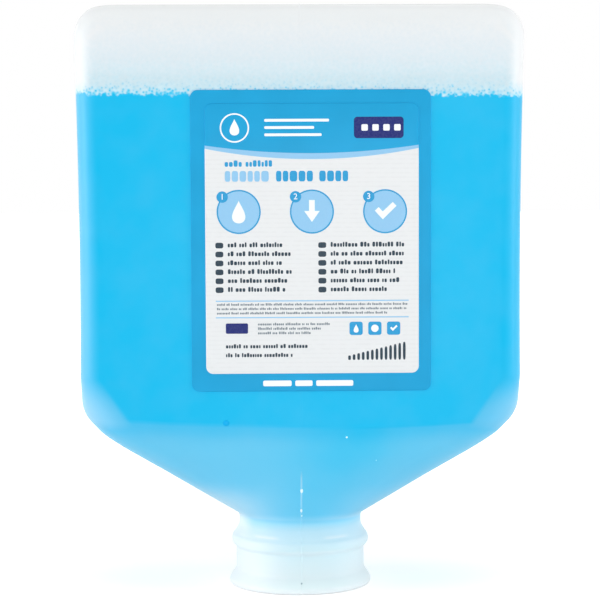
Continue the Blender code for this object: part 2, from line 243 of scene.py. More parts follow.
class LabelSettings(bpy.types.PropertyGroup):
    """The label's film, its leaflet and their print."""

    film_colour: colour("Film colour", "#1ea2d6", "Blue of the film's border")
    paper_colour: colour("Leaflet colour", "#e4e6e7", "White of the leaflet")
    film_corner: length("Film corner", 3.1, "Rounding of the film's corners")
    leaflet_corner: length("Leaflet corner", 2.9, "Rounding of the leaflet's corners")
    ink_thickness: length("Ink thickness", 0.02, "How far each layer of print stands out")
    blue_colour: colour("Blue ink", "#2499cf", "Colour of the title and the badges' rings")
    pale_colour: colour("Pale ink", "#8fc4e8", "Colour of the badges and the rules")
    white_colour: colour("White ink", "#f2f7fa", "Colour of the print on blue")
    navy_colour: colour("Navy ink", "#101f6c", "Colour of the dark blocks")
    slate_colour: colour("Slate ink", "#263a48", "Colour of the small print")
    grey_colour: colour("Grey ink", "#76838c", "Colour of the smallest print")
    text_seed: IntProperty(
        name="Text seed", description="Seed of the lengths of the plain bars that stand for text",
        default=11)


class StageSettings(bpy.types.PropertyGroup):
    """Camera, floor and light."""

    distance: FloatProperty(
        name="Camera distance", description="Level distance from the camera to the neck's axis",
        default=0.845, unit="LENGTH")
    height: FloatProperty(
        name="Camera height", description="Height of the camera over the mouth",
        default=0.1792, unit="LENGTH")
    turn: FloatProperty(
        name="Camera turn", description="How far left of the front the camera stands",
        default=math.radians(1.2), unit="ROTATION")
    pitch: FloatProperty(
        name="Camera pitch", description="How far the camera looks down",
        default=math.radians(4.0), unit="ROTATION")
    lens: FloatProperty(
        name="Lens", description="Focal length in millimetres", default=120.0)
    roll: FloatProperty(
        name="Camera roll", description="How far the camera leans",
        default=math.radians(0.25), unit="ROTATION")
    shift: FloatProperty(
        name="Frame shift", description="Sideways shift of the frame, as a share of its width",
        default=1.0 / 600)
    room_light: FloatProperty(
        name="Room light", description="Strength of the even white light", default=0.57)


# The bottle's form

def fillet(before, vertex, after, radius, steps):
    """Points of the arc that rounds a corner of a profile."""
    before, vertex, after = (np.array(point, float) for point in (before, vertex, after))
    towards_before = (before - vertex) / np.linalg.norm(before - vertex)
    towards_after = (after - vertex) / np.linalg.norm(after - vertex)
    half_angle = math.acos(float(towards_before @ towards_after)) / 2
    tangent_length = radius / math.tan(half_angle)
    bisector = towards_before + towards_after
    centre = vertex + bisector / np.linalg.norm(bisector) * radius / math.sin(half_angle)
    start = vertex + towards_before * tangent_length - centre
    end = vertex + towards_after * tangent_length - centre
    sweep = math.pi - 2 * half_angle
    return [
        centre + math.sin((1 - share) * sweep) / math.sin(sweep) * start
        + math.sin(share * sweep) / math.sin(sweep) * end
        for share in shares(steps)
    ]


class BottleForm:
    """Works out the bottle's level sections from its settings and from the frame."""

    flat_steps = 16
    corner_steps = 12
    side_steps = 8
    base_slope_steps = 8
    base_edge_steps = 16
    side_bulge = 2.5 * MM
    front_bulge = 0.6 * MM
    bulge_skew = 0.6
    waist = 0.8 * MM
    root_fillet = 3.0 * MM
    sag_reach = 8
    base_slope = 5.0 * MM
    ridge_pressed = (48 * MM, 56 * MM)
    eased_heights = (58 * MM, 84 * MM)
    eased_ends = 4 * MM
    eased_reach = 2.0 * MM

    def __init__(self, settings):
        self.sizes = settings
        self.height = bottle_high[2] - settings.seam_ridge
        self.base_half_x = bottle_high[0]
        self.base_half_y = bottle_high[1] - settings.seam_ridge
        neck_half_x = self.base_half_x - settings.side_draft
        self.side = self.profile(
            neck_half_x, settings.shoulder_side, settings.shoulder_corner, self.side_bulge)
        self.wall_foot = self.side[0][-1]
        self.side = self.eased_corner(self.side)
        self.front = self.profile(
            self.base_half_y, settings.shoulder_front, settings.shoulder_crease, self.front_bulge)

    def profile(self, half, shoulder, corner, bulge, steps=40):
        """Half size against height, from the wall over the shoulder to the neck."""
        sizes = self.sizes
        root = (sizes.neck_radius, sizes.neck_root)
        upper = fillet((half, self.height), (half, shoulder), root, corner, steps)
        lower = fillet((half, shoulder), root, (sizes.neck_radius, 0.0), self.root_fillet, steps)
        slope = lower[0] - upper[-1]
        outward = np.array((-slope[1], slope[0])) / np.linalg.norm(slope)
        points = list(upper)
        for share in shares(steps)[1:-1]:
            eased = share ** self.bulge_skew
            points.append(upper[-1] + slope * share + outward * 4 * eased * (1 - eased) * bulge)
        points.extend(lower)
        points.reverse()
        return [point[1] for point in points], [point[0] for point in points]

    def eased_corner(self, profile):
        """The same profile, softly smoothed round the shoulder's corner."""
        low, high = self.eased_heights
        spacing = 0.25 * MM
        heights = np.arange(0.0, self.height, spacing)
        halves = np.interp(heights, *profile)
        offsets = np.arange(-12, 13) * spacing
        weights = np.exp(-(offsets / self.eased_reach) ** 2)
        smooth = np.convolve(halves, weights / weights.sum(), mode="same")
        share = np.array([
            smooth_share(height, low, low + self.eased_ends)
            - smooth_share(height, high - self.eased_ends, high)
            for height in heights])
        return list(heights), list(halves + (smooth - halves) * share)

    def half_width(self, height):
        start = self.wall_foot
        share = (height - start) / (self.height - self.sizes.base_edge_height - start)
        share = min(max(share, 0.0), 1.0)
        width = float(np.interp(height, *self.side)) + self.sizes.side_draft * share
        return width - 4 * share * (1 - share) * self.waist

    def half_depth(self, height):
        return float(np.interp(height, *self.front))

    def flat_half(self, height):
        """Half the flat front's width, cut off slantwise at its lower corners."""
        sizes = self.sizes
        if height >= sizes.corner_cut_height:
            return self.half_width(height) - sizes.edge_radius
        if height >= sizes.shoulder_front:
            span = sizes.corner_cut_height - sizes.shoulder_front
            share = (height - sizes.shoulder_front) / span
            upper_flat = self.half_width(sizes.corner_cut_height) - sizes.edge_radius
            return sizes.corner_cut_width + (upper_flat - sizes.corner_cut_width) * share
        spread = self.half_width(sizes.shoulder_front) - sizes.neck_radius
        reach = max(self.half_width(height) - sizes.neck_radius, 0.0)
        return sizes.corner_cut_width * reach / spread

    def quarter(self, half_x, half_y, flat, roundness):
        """A quarter of a section, from the seam at the front to the middle of the side."""
        seam_half = self.sizes.seam_width / 2
        corner = half_x - flat
        side_flat = half_y - corner
        box_points = [(seam_half / 2, -half_y)]
        for share in shares(self.flat_steps)[:-1] + [0.985]:
            box_points.append((seam_half + (flat - seam_half) * share, -half_y))
        for step in range(self.corner_steps + 1):
            angle = math.pi / 2 * step / self.corner_steps
            box_points.append(
                (flat + corner * math.sin(angle), -side_flat - corner * math.cos(angle)))
        for step in range(1, self.side_steps + 1):
            box_points.append((half_x, -side_flat * (1 - step / self.side_steps)))
        first = math.asin(seam_half / half_x)
        last = len(box_points) - 2
        angles = [first / 2]
        angles += [first + (math.pi / 2 - first) * step / last for step in range(last + 1)]
        points = []
        for (x, y), angle in zip(box_points, angles):
            oval_x = half_x * math.sin(angle)
            oval_y = -half_y * math.cos(angle)
            points.append((x + (oval_x - x) * roundness, y + (oval_y - y) * roundness))
        return points

    def ring(self, half_x, half_y, flat, roundness, height, sag=0.0, out=0.0, up=0.0):
        """A whole section, starting at the front's seam and running by way of +X."""
        quarter = self.quarter(half_x, half_y, flat, roundness)
        right = quarter + [(x, -y) for x, y in reversed(quarter[:-1])]
        left = [(-x, y) for x, y in reversed(right)]
        outline = [(0.0, -half_y - out)] + right + [(0.0, half_y + out)] + left
        points = []
        for x, y in outline:
            reach = min(abs(x) / flat, 1.0) if flat > 0 else 1.0
            face_share = min(abs(y) / half_y, 1.0) ** self.sag_reach
            lift = up if x == 0.0 else 0.0
            points.append((x, y, height - sag * (1 - reach * reach) * face_share + lift))
        return points

    def base_rings(self, ridge):
        """Sections of the base, from the middle of its recess out to the body's wall."""
        sizes = self.sizes
        full_x = self.half_width(self.height)
        full_y = self.half_depth(self.height)
        plate_x = full_x - sizes.base_edge_width - sizes.base_rim - self.base_slope
        plate_y = full_y - sizes.base_edge_depth - sizes.base_rim - self.base_slope
        rings = []
        for share in (0.02, 0.35, 0.7, 0.9):
            rings.append(self.ring(
                plate_x * share, plate_y * share, (plate_x - sizes.edge_radius) * share, 0.0,
                self.height - sizes.base_recess, up=ridge))
        for share in shares(self.base_slope_steps):
            half_x = plate_x + self.base_slope * share
            drop = sizes.base_recess * (1 - smooth_share(share, 0.0, 1.0))
            rings.append(self.ring(
                half_x, plate_y + self.base_slope * share, half_x - sizes.edge_radius, 0.0,
                self.height - drop, up=ridge))
        for share in shares(self.base_edge_steps):
            angle = math.pi / 2 * share
            half_x = full_x - sizes.base_edge_width * (1 - math.sin(angle))
            half_y = full_y - sizes.base_edge_depth * (1 - math.sin(angle))
            height = self.height - sizes.base_edge_height * (1 - math.cos(angle))
            rings.append(self.ring(
                half_x, half_y, half_x - sizes.edge_radius, 0.0, height,
                out=ridge * 0.15 * math.sin(angle), up=ridge * math.cos(angle)))
        return rings

    def wall_ring(self, height, ridge):
        sizes = self.sizes
        sag_share = smooth_share(height, sizes.neck_root, sizes.shoulder_front)
        roundness = 1 - sag_share
        fade_top = sizes.corner_cut_height + sizes.edge_radius
        sag_share *= 1 - smooth_share(height, sizes.shoulder_front, fade_top)
        return self.ring(
            self.half_width(height), self.half_depth(height), self.flat_half(height), roundness,
            height, sizes.shoulder_sag * sag_share, ridge)

    def wall_heights(self, top, bottom):
        """Heights of the sections between two levels, close together where the form turns."""
        sizes = self.sizes
        zones = (
            (self.height, froth_high[2] + 2 * MM, 2.2 * MM),
            (froth_high[2] + 2 * MM, soap_high[2] - 1.2 * MM, 0.6 * MM),
            (soap_high[2] - 1.2 * MM, sizes.corner_cut_height + 4 * MM, 6.0 * MM),
            (sizes.corner_cut_height + 4 * MM, sizes.shoulder_front - 6 * MM, 1.1 * MM),
            (sizes.shoulder_front - 6 * MM, sizes.neck_root + 3 * MM, 1.8 * MM),
            (sizes.neck_root + 3 * MM, 0.0, 0.5 * MM),
        )
        heights = [top]
        for zone_top, zone_bottom, spacing in zones:
            count = math.ceil((zone_top - zone_bottom) / spacing)
            for step in range(count):
                height = zone_top - (zone_top - zone_bottom) * step / count
                if bottom + 0.1 * MM < height < top - 0.1 * MM:
                    heights.append(height)
        heights.append(bottom)
        return heights

    def blown_rings(self, bottom, ridge):
        """All sections of the blown part, from the base's middle to a level in the neck."""
        rings = self.base_rings(ridge)
        wall_top = self.height - self.sizes.base_edge_height
        for height in self.wall_heights(wall_top, bottom)[1:]:
            pressed = 0.85 * smooth_share(height, *self.ridge_pressed)
            rings.append(self.wall_ring(height, ridge * (1 - pressed)))
        return np.array(rings)


def inset_rings(rings, distance):
    """The same sections, moved inwards at right angles to the surface."""
    along = np.roll(rings, -1, axis=1) - np.roll(rings, 1, axis=1)
    down = np.empty_like(rings)
    down[1:-1] = rings[2:] - rings[:-2]
    down[0] = rings[1] - rings[0]
    down[-1] = rings[-1] - rings[-2]
    normals = np.cross(down, along)
    normals /= np.linalg.norm(normals, axis=2, keepdims=True)
    return rings - normals * distance


def loft(rings, closed=True):
    """A mesh over sections with the same number of points."""
    surface = bmesh.new()
    rows = [[surface.verts.new(point) for point in ring] for ring in rings]
    for upper, lower in zip(rows, rows[1:]):
        for column in range(len(upper)):
            after = (column + 1) % len(upper)
            surface.faces.new((upper[column], lower[column], lower[after], upper[after]))
    if closed:
        surface.faces.new(rows[0])
        surface.faces.new(list(reversed(rows[-1])))
    return surface


def mesh_of(surface, name, material, smooth_angle=40):
    for face in surface.faces:
        face.smooth = True
    mesh = plain_mesh(name, surface)
    mesh.materials.append(material)
    mesh.set_sharp_from_angle(angle=math.radians(smooth_angle))
    return mesh


# Materials

def new_material(name):
    """A material's node tree, its shader and the place on the object with its x, y and z."""
    material = bpy.data.materials.new(name)
    material.use_nodes = True
    tree = material.node_tree
    place = add_node(tree, "ShaderNodeTexCoord").outputs["Object"]
    axes = add_node(tree, "ShaderNodeSeparateXYZ", {"Vector": place}).outputs
    return material, tree, tree.nodes["Principled BSDF"], place, axes


def drifting_tone(tree, place, scale_mm, detail, stops):
    """A colour that drifts over the surface in patches of about scale_mm."""
    drift = add_node(
        tree, "ShaderNodeTexNoise",
        {"Vector": place, "Scale": 1 / (scale_mm * MM), "Detail": detail})
    return add_node(tree, "ShaderNodeValToRGB", {"Fac": drift}, stops)


def tone_by_height(tree, height, low, high, stops):
    """A colour that changes between two heights, with its stops as shares of the way."""
    rise = add_node(tree, "ShaderNodeMapRange", {"Value": height, "From Min": low, "From Max": high})
    return add_node(tree, "ShaderNodeValToRGB", {"Fac": rise}, stops)


def fine_bump(tree, place, scale_mm, height_mm):
    """Bump from noise whose grains measure about scale_mm."""
    grain = add_node(
        tree, "ShaderNodeTexNoise", {"Vector": place, "Scale": 1 / (scale_mm * MM), "Detail": 3.0})
    return add_node(
        tree, "ShaderNodeBump", {"Height": grain, "Distance": height_mm * MM, "Strength": 1.0})


def coded(*stops):
    """Stops of a ramp whose colours are given as hex values."""
    return [(place, linear(code)) for place, code in stops]


HEAD_START = 203.9 * MM
HEAD_END = 243.0 * MM
# Height in millimetres, colour and cover of the wall over the fill line: froth and drops near the line,
# and above them the soap's blue glow painted in, fading upwards.
HEAD_TONES = (
    (203.9, "#3ccaf5", 0.90), (205.2, "#7cd9f7", 0.86), (206.8, "#bce7f8", 0.80),
    (208.8, "#d4f0fa", 0.74), (212.0, "#ddf3fb", 0.68), (219.0, "#eaf7fd", 0.62),
    (227.0, "#f3fafe", 0.60), (235.0, "#fbfeff", 0.60), (243.0, "#fdffff", 0.60),
)


def share_over_fill(height):
    """Where a height in millimetres lies between the fill line and the base."""
    return (height * MM - HEAD_START) / (HEAD_END - HEAD_START)


def milky_polyethylene():
    """Natural blown polyethylene: milky, satin, and see-through where it is thin.

    The wall scatters light, so it veils what is behind it. Below the fill line the
    soap wets it and gives it its blue, which pales at the turned edges, at the
    slanted corners and over the shoulder: painted light, with a little less soap
    behind the wall there. Over the fill line drops and froth cling to it and thin
    out upwards, and the soap's blue glow is painted into it, fading upwards. The
    neck's moulded ring is thick and white, with the soap's glow and its light and
    shade painted in. The tint and cover below the fill line are painted on the
    wall's points, and the painted edge light and highlight streaks that whiten the
    wall over it are painted as turn.
    """
    material, tree, shader, place, (x, _, z) = new_material("milky_blown_polyethylene")
    paint = add_node(tree, "ShaderNodeAttribute", attribute_name="wall_paint")
    turn = add_node(tree, "ShaderNodeAttribute", attribute_name="turn")
    cloud = add_node(
        tree, "ShaderNodeTexNoise", {"Vector": place, "Scale": 1 / (14 * MM), "Detail": 2.0})
    uneven = add_node(
        tree, "ShaderNodeMapRange",
        {"Value": cloud, "From Min": 0.3, "From Max": 0.7, "To Min": 0.99, "To Max": 1.01})
    below = add_node(
        tree, "ShaderNodeHueSaturation", {"Color": paint.outputs["Color"], "Saturation": uneven})

    cells = add_node(tree, "ShaderNodeTexVoronoi", {"Vector": place, "Scale": 1 / (1.7 * MM)})
    frayed = add_node(
        tree, "ShaderNodeTexNoise", {"Vector": place, "Scale": 1 / (3.2 * MM), "Detail": 3.0})
    wave = z
    for pattern, share in ((cells, 1.6 * MM), (frayed, -3.4 * MM), (x, 0.006)):
        wave = add_node(
            tree, "ShaderNodeMath", {0: pattern, 1: share, 2: wave}, operation="MULTIPLY_ADD")
    drops = add_node(
        tree, "ShaderNodeTexVoronoi", {"Vector": place, "Scale": 1 / (1.25 * MM)},
        feature="SMOOTH_F1")
    mottled = add_node(
        tree, "ShaderNodeMath", {0: drops, 1: 9.0 * MM, 2: wave}, operation="MULTIPLY_ADD")
    head = tone_by_height(
        tree, mottled, HEAD_START + 3.0 * MM, HEAD_END + 3.0 * MM,
        coded(*((share_over_fill(height), code) for height, code, _ in HEAD_TONES)))
    veil = tone_by_height(
        tree, wave, HEAD_START, HEAD_END,
        [(share_over_fill(height), (cover, cover, cover)) for height, _, cover in HEAD_TONES])
    # Painted edge light and highlight streaks: turn whitens the wall over the fill line.
    above = add_node(
        tree, "ShaderNodeMapRange",
        {"Value": z, "From Min": soap_high[2], "From Max": soap_high[2] + 6 * MM})
    painted_edge_light = add_node(
        tree, "ShaderNodeMath", {0: turn.outputs["Fac"], 1: above}, operation="MULTIPLY")
    white = add_node(
        tree, "ShaderNodeMix", {"Factor": painted_edge_light, "A": head, "B": (*linear("#fcfeff"), 1.0)},
        data_type="RGBA")
    start = add_node(
        tree, "ShaderNodeMapRange",
        {"Value": wave, "From Min": HEAD_START + 0.1 * MM, "From Max": HEAD_START + 0.9 * MM})
    tint = add_node(
        tree, "ShaderNodeMix", {"Factor": start, "A": below, "B": white}, data_type="RGBA")
    cover = add_node(
        tree, "ShaderNodeMix", {"Factor": start, "A": paint.outputs["Alpha"], "B": veil},
        data_type="FLOAT")
    feed(tree, shader, {
        "Base Color": tint, "Alpha": cover, "Normal": fine_bump(tree, place, 0.9, 0.010),
        "Roughness": 0.36, "IOR": 1.53, "Specular IOR Level": 0.13})
    return material


def cyan_soap(settings):
    """Clear cyan liquid soap: deep and even in colour, with soft drifts inside it."""
    material, tree, shader, place, _ = new_material("cyan_liquid_soap")
    deep = settings.soap_colour
    light = tuple(channel + (1 - channel) * 0.05 for channel in deep)
    drift = add_node(
        tree, "ShaderNodeTexNoise", {"Vector": place, "Scale": 1 / (45 * MM), "Detail": 1.0})
    tone = add_node(
        tree, "ShaderNodeMix", {"Factor": drift, "A": (*deep, 1.0), "B": (*light, 1.0)},
        data_type="RGBA")
    feed(tree, shader, {
        "Base Color": tone, "Roughness": 0.30, "IOR": 1.34, "Specular IOR Level": 0.15})
    return material


def soap_froth(settings):
    """Fine froth: white films round small cells that show the blue of the soap below."""
    material, tree, shader, place, (_, _, z) = new_material("fine_soap_froth")
    cells = add_node(tree, "ShaderNodeTexVoronoi", {"Vector": place, "Scale": 1 / (1.1 * MM)})
    wet = tone_by_height(tree, z, froth_low[2], froth_high[2], coded(
        (0.0, "#2cc4f4"), (0.12, "#5fcff4"), (0.3, "#8ad7f3"), (0.47, "#b3dff3"),
        (0.73, "#c8e5f2"), (1.0, "#d3e9f3")))
    film = tone_by_height(
        tree, z, froth_low[2], froth_high[2],
        coded((0.0, "#5ccff5"), (0.3, "#b4e3f6"), (0.6, "#d9edf6"))
        + [(1.0, tuple(settings.froth_colour))])
    tone = add_node(
        tree, "ShaderNodeMix", {"Factor": cells, "A": wet, "B": film}, data_type="RGBA")
    relief = add_node(
        tree, "ShaderNodeBump", {"Height": cells, "Distance": 0.2 * MM, "Strength": 0.6})
    feed(tree, shader, {"Base Color": tone, "Normal": relief, "Roughness": 0.6})
    return material


def soap_bubble():
    """Thin wet film of a bubble: pale, glossy and half see-through."""
    material, tree, shader, _, (_, _, z) = new_material("wet_bubble_film")
    tone = tone_by_height(
        tree, z, froth_low[2] - 2 * MM, froth_high[2],
        coded((0.0, "#9fdcf7"), (0.35, "#cfe9f6"), (1.0, "#eef6fa")))
    feed(tree, shader, {"Base Color": tone, "Alpha": 0.7, "Roughness": 0.15})
    return material


def plug_polyethylene():
    """Injection moulded white polyethylene of the plug, satin, with faint flow marks."""
    material, tree, shader, place, _ = new_material("moulded_white_polyethylene")
    tone = drifting_tone(tree, place, 9, 2.0, coded((0.3, "#e2edf2"), (0.7, "#eef4f7")))
    feed(tree, shader, {
        "Base Color": tone, "Normal": fine_bump(tree, place, 0.7, 0.01), "Roughness": 0.38})
    return material


def printed_film(settings):
    """Blue printed polypropylene film of the label, satin, with a slight drift in its tint."""
    material, tree, shader, place, _ = new_material("blue_printed_film")
    blue = tuple(settings.film_colour)
    darker = tuple(channel * 0.93 for channel in blue)
    tone = drifting_tone(tree, place, 22, 2.0, [(0.35, darker), (0.65, blue)])
    feed(tree, shader, {
        "Base Color": tone, "Normal": fine_bump(tree, place, 1.6, 0.010),
        "Roughness": 0.36, "Specular IOR Level": 0.12})
    return material


def coated_paper(settings):
    """Coated white leaflet paper: the lines printed on its back show through faintly."""
    material, tree, shader, place, _ = new_material("coated_leaflet_paper")
    stretched = add_node(
        tree, "ShaderNodeMapping", {"Vector": place, "Scale": (1 / (2.6 * MM), 1.0, 1 / (2.2 * MM))})
    marks = add_node(
        tree, "ShaderNodeTexNoise", {"Vector": stretched, "Scale": 1.0, "Detail": 1.0})
    lines = add_node(
        tree, "ShaderNodeTexWave",
        {"Vector": place, "Scale": 1 / (2.9 * MM) / 2, "Distortion": 0.0},
        wave_type="BANDS", bands_direction="Z")
    ghost = add_node(
        tree, "ShaderNodeMath", {0: marks, 1: lines.outputs["Fac"]}, operation="MULTIPLY")
    paper = tuple(settings.paper_colour)
    shaded = tuple(channel * 0.97 for channel in paper)
    tone = add_node(
        tree, "ShaderNodeValToRGB", {"Fac": ghost}, [(0.28, paper), (0.55, shaded)])
    feed(tree, shader, {
        "Base Color": tone, "Normal": fine_bump(tree, place, 0.25, 0.004),
        "Roughness": 0.45, "Specular IOR Level": 0.15})
    return material


def printing_ink(name, ink_colour):
    """Offset printing ink, whose tint varies a little over the sheet."""
    material, tree, shader, place, _ = new_material(name)
    ink = tuple(ink_colour)
    lighter = tuple(channel + (1 - channel) * 0.02 for channel in ink)
    tone = drifting_tone(tree, place, 0.8, 2.0, [(0.35, ink), (0.7, lighter)])
    feed(tree, shader, {"Base Color": tone, "Roughness": 0.40, "Specular IOR Level": 0.15})
    return material


# The bottle

def finish_rings(form):
    """Sections of the neck's moulded ring, down its outside and up its bore."""
    sizes = form.sizes
    bead_rise = 2.1 * MM
    bead_half_height = 2.9 * MM
    bead_foot = 3.8 * MM
    lip_height = 6.8 * MM
    lip_rounding = 0.9 * MM
    lip_ease = 0.15
    seat_radius = 25.4 * MM
    seat_depth = 2.2 * MM
    easing = 0.2 * MM
    bore = sizes.neck_radius - sizes.finish_wall
    top_angle, bottom_angle = math.radians(62), math.radians(-74)
    bead_centre = sizes.bead_radius - bead_rise

    def on_bead(angle):
        return (bead_centre + bead_rise * math.cos(angle),
                sizes.bead_height + bead_half_height * math.sin(angle))

    first_bead = on_bead(top_angle)
    outline = []
    for share in shares(8)[1:-1]:
        eased = share * share * (1.6 - 0.6 * share)
        outline.append((
            sizes.neck_radius + (first_bead[0] - sizes.neck_radius) * eased,
            sizes.finish_height + (first_bead[1] - sizes.finish_height) * share))
    outline += [on_bead(top_angle + (bottom_angle - top_angle) * share) for share in shares(22)]
    outline += [
        (sizes.lower_neck_radius + 0.08 * MM, sizes.bead_height - bead_foot * 0.9),
        (sizes.lower_neck_radius, sizes.bead_height - bead_foot),
        (sizes.lower_neck_radius, sizes.bead_height - bead_foot - 1.0 * MM),
    ]
    flare = sizes.lip_radius - sizes.lower_neck_radius
    flare_height = lip_height - 2 * lip_rounding
    for share in shares(14):
        radius = sizes.lower_neck_radius + flare * smooth_share(share, -lip_ease, 1 + lip_ease)
        outline.append((radius, lip_height - flare_height * share))
    for share in shares(8)[1:]:
        angle = math.pi / 2 * share
        outline.append((
            sizes.lip_radius - lip_rounding * (1 - math.cos(angle)),
            2 * lip_rounding * (1 - math.sin(angle))))
    outline += [
        (seat_radius + easing, 0.0), (seat_radius, easing), (seat_radius, seat_depth),
        (bore + easing, seat_depth), (bore, seat_depth + easing),
        (bore, sizes.finish_height - 0.6 * MM), (bore + 0.5 * MM, sizes.finish_height),
    ]
    rings = []
    for radius, height in outline:
        outside = radius > seat_radius + MM and height > 0
        ridge = sizes.seam_ridge if outside else 0.0
        rings.append(form.ring(radius, radius, 0.0, 1.0, height, out=ridge))
    return np.array(rings)


def between(first, second, share):
    return tuple(a + (b - a) * share for a, b in zip(first, second))


def painted_light_paling(form, point, normal):
    """How far the wall's blue is paled at a point below the fill line, from 0 to 1.
    The paling is painted light: reflected room light at the edges and slanted corners
    and light from below on the shoulder, more on the left, with a little real thinning
    of the soap behind the wall there.
    """
    x, _, z = point
    sizes = form.sizes
    across = abs(normal[0])
    left = x < 0
    flat = max(form.flat_half(z), 1 * MM)
    reach = min(abs(x) / flat, 1.0)
    crease = sizes.shoulder_front + 0.6 * MM - sizes.shoulder_sag * (1 - reach * reach)
    crease += 1.0 * MM * smooth_share(-x, -20 * MM, 20 * MM) - 0.5 * MM * smooth_share(x, 0.0, 50 * MM)
    cut = 1 - smooth_share(z, sizes.corner_cut_height - 15 * MM, sizes.corner_cut_height + 1 * MM)
    lower = 1 - smooth_share(z, 100 * MM, 185 * MM)
    # Painted light: the upright and slanted edges are paled, more on the left, where the brighter lamp
    # stands.
    upright = 0.18 + 0.05 * lower if left else 0.07
    slanted = 0.34 if left else 0.20
    slanted -= (slanted - upright) * 0.8 * smooth_share(across, 0.9, 1.0)
    rim = across ** 1.15
    edge = (upright + (slanted - upright) * cut) * rim
    edge += 0.09 * cut * smooth_share(abs(x) - flat, 0.0, 1.6 * MM) * smooth_share(-across, -1.0, -0.9)
    # Painted light from below: the shoulder under the crease is paled, less in a lobe on its front.
    below = crease - z
    step = 0.45 * smooth_share(below, -0.6 * MM, 1.0 * MM) + 0.55 * smooth_share(below, 0.0, 9 * MM)
    depth = 1 - smooth_share(z, sizes.neck_root, crease)
    lobe_centre = (20 - 12 * depth) * MM
    lobe = (0.105 - 0.045 * depth) * bell(x, lobe_centre, 19 * MM) * max(-normal[1], 0.0)
    shoulder = step * (0.155 + 0.05 * depth - lobe)
    fade = 1 - smooth_share(below, 0.0, 9 * MM)
    # Painted light: the neck's root is paled, more on the left.
    root = 1 - smooth_share(z, sizes.neck_root + 3 * MM, sizes.neck_root + 18 * MM)
    turned = root * (0.38 if left else 0.11) * smooth_share(abs(x), 4 * MM, 34 * MM)
    # Paler line down the seam over the shoulder: partly the thicker wall there, partly a painted
    # highlight.
    seam = (0.14 + 0.18 * smooth_share(z, 33 * MM, 42 * MM)) * bell(x, 0.0, 0.3 * MM) * abs(normal[1])
    seam *= 1 - smooth_share(z, 48 * MM, 53 * MM)
    return max(edge * fade, shoulder) + turned + seam


# Colours of the neck's ring by height in millimetres, as the lit neck shows them: the soap's blue glow
# near the shoulder and the ring's light and shade are painted in.
NECK_LIT_TONES = (
    (0.0, "#f2f8fa"), (1.0, "#eef6f8"), (3.0, "#e4f3f4"), (5.5, "#dcecef"), (9.7, "#dcebf1"),
    (13.9, "#d8eef4"), (18.0, "#d2edf4"), (22.3, "#cbeaf5"), (24.4, "#c2e6f4"),
    (26.4, "#b5e1f3"), (28.5, "#9bddf6"), (30.2, "#7cd2f3"),
)


def tone_at(table, height):
    """Interpolates a table of heights in millimetres and hex colours."""
    heights = [row[0] * MM for row in table]
    colours = np.array([linear(row[1]) for row in table])
    return tuple(float(np.interp(height, heights, colours[:, channel])) for channel in range(3))


def wall_paint(form, point, normal):
    """The wall's tint and cover below the fill line, as red, green, blue and alpha."""
    x, _, z = point
    sizes = form.sizes
    white = painted_light_paling(form, point, normal)
    # Painted light: where the shoulder slopes towards the neck, its blue is made greener and brighter.
    sloping = 1 - smooth_share(z, sizes.shoulder_front - 12 * MM, sizes.shoulder_front)
    stain = [channel * (1 + gain * sloping) for channel, gain in zip(sizes.stain_colour, (0, 0.10, 0.05))]
    tint = between(stain, tuple(sizes.milk_colour), white)
    cover = 0.90
    neck_top = sizes.neck_root + 1.5 * MM
    neck = 1 - smooth_share(z, neck_top - 3.5 * MM, neck_top + 2.0 * MM)
    # Painted light: the neck's sides are whitened, the left more than the right.
    painted_side_light = 0.65 * smooth_share(-x, 2 * MM, 24 * MM) + 0.30 * smooth_share(x, 12 * MM, 26 * MM)
    painted_side_light *= 1 - 0.75 * smooth_share(z, 19 * MM, 28 * MM) * smooth_share(x, -25 * MM, -19 * MM)
    # Painted light: the neck's downward-facing surfaces under the bead are whitened where shade would
    # fall.
    under = 0.35 * smooth_share(-normal[2], 0.05, 0.6)
    # Painted highlight: a bright arc along the bead on each side of the front.
    arc = 0.45 * bell(z, 22.9 * MM, 0.45 * MM) * smooth_share(abs(x), 8 * MM, 12 * MM)
    arc *= 1 - smooth_share(abs(x), 17 * MM, 21 * MM)
    tone = between(tone_at(NECK_LIT_TONES, z), linear("#fcfeff"), min(max(painted_side_light, under) + arc, 1.0))
    tint = between(tint, tone, neck)
    cover += 0.06 * neck
    return (*tint, cover)


def paint_wall(mesh, form):
    colours = []
    turns = []
    for vertex in mesh.vertices:
        colours.extend(wall_paint(form, vertex.co, vertex.normal))
        x, _, z = vertex.co
        # Painted light: turn marks the side-facing wall, and a painted highlight streak along each upper
        # corner of the head, both of which the material whitens.
        along = (z - 226.5 * MM) / (9.5 * MM)
        highlight_streak = bell(abs(x), (87.0 - 10.0 * along) * MM, 1.8 * MM) if 0 < along < 1 else 0.0
        turns.append(max(smooth_share(abs(vertex.normal[0]), 0.02, 0.8), highlight_streak))
    mesh.attributes.new("wall_paint", "FLOAT_COLOR", "POINT").data.foreach_set("color", colours)
    mesh.attributes.new("turn", "FLOAT", "POINT").data.foreach_set("value", turns)


def build_bottle(settings):
    form = BottleForm(settings)
    outside = form.blown_rings(settings.finish_height, settings.seam_ridge)
    plain = form.blown_rings(settings.finish_height, 0.0)
    inside = inset_rings(plain, settings.wall)[::-1]
    surface = loft(np.concatenate([outside, finish_rings(form), inside]))
    mesh = mesh_of(surface, "bottle_shell", milky_polyethylene())
    paint_wall(mesh, form)
    finish_piece(new_object("bottle_shell", mesh), "bottle_plastic", "bottle")
    build_nibs(mesh)


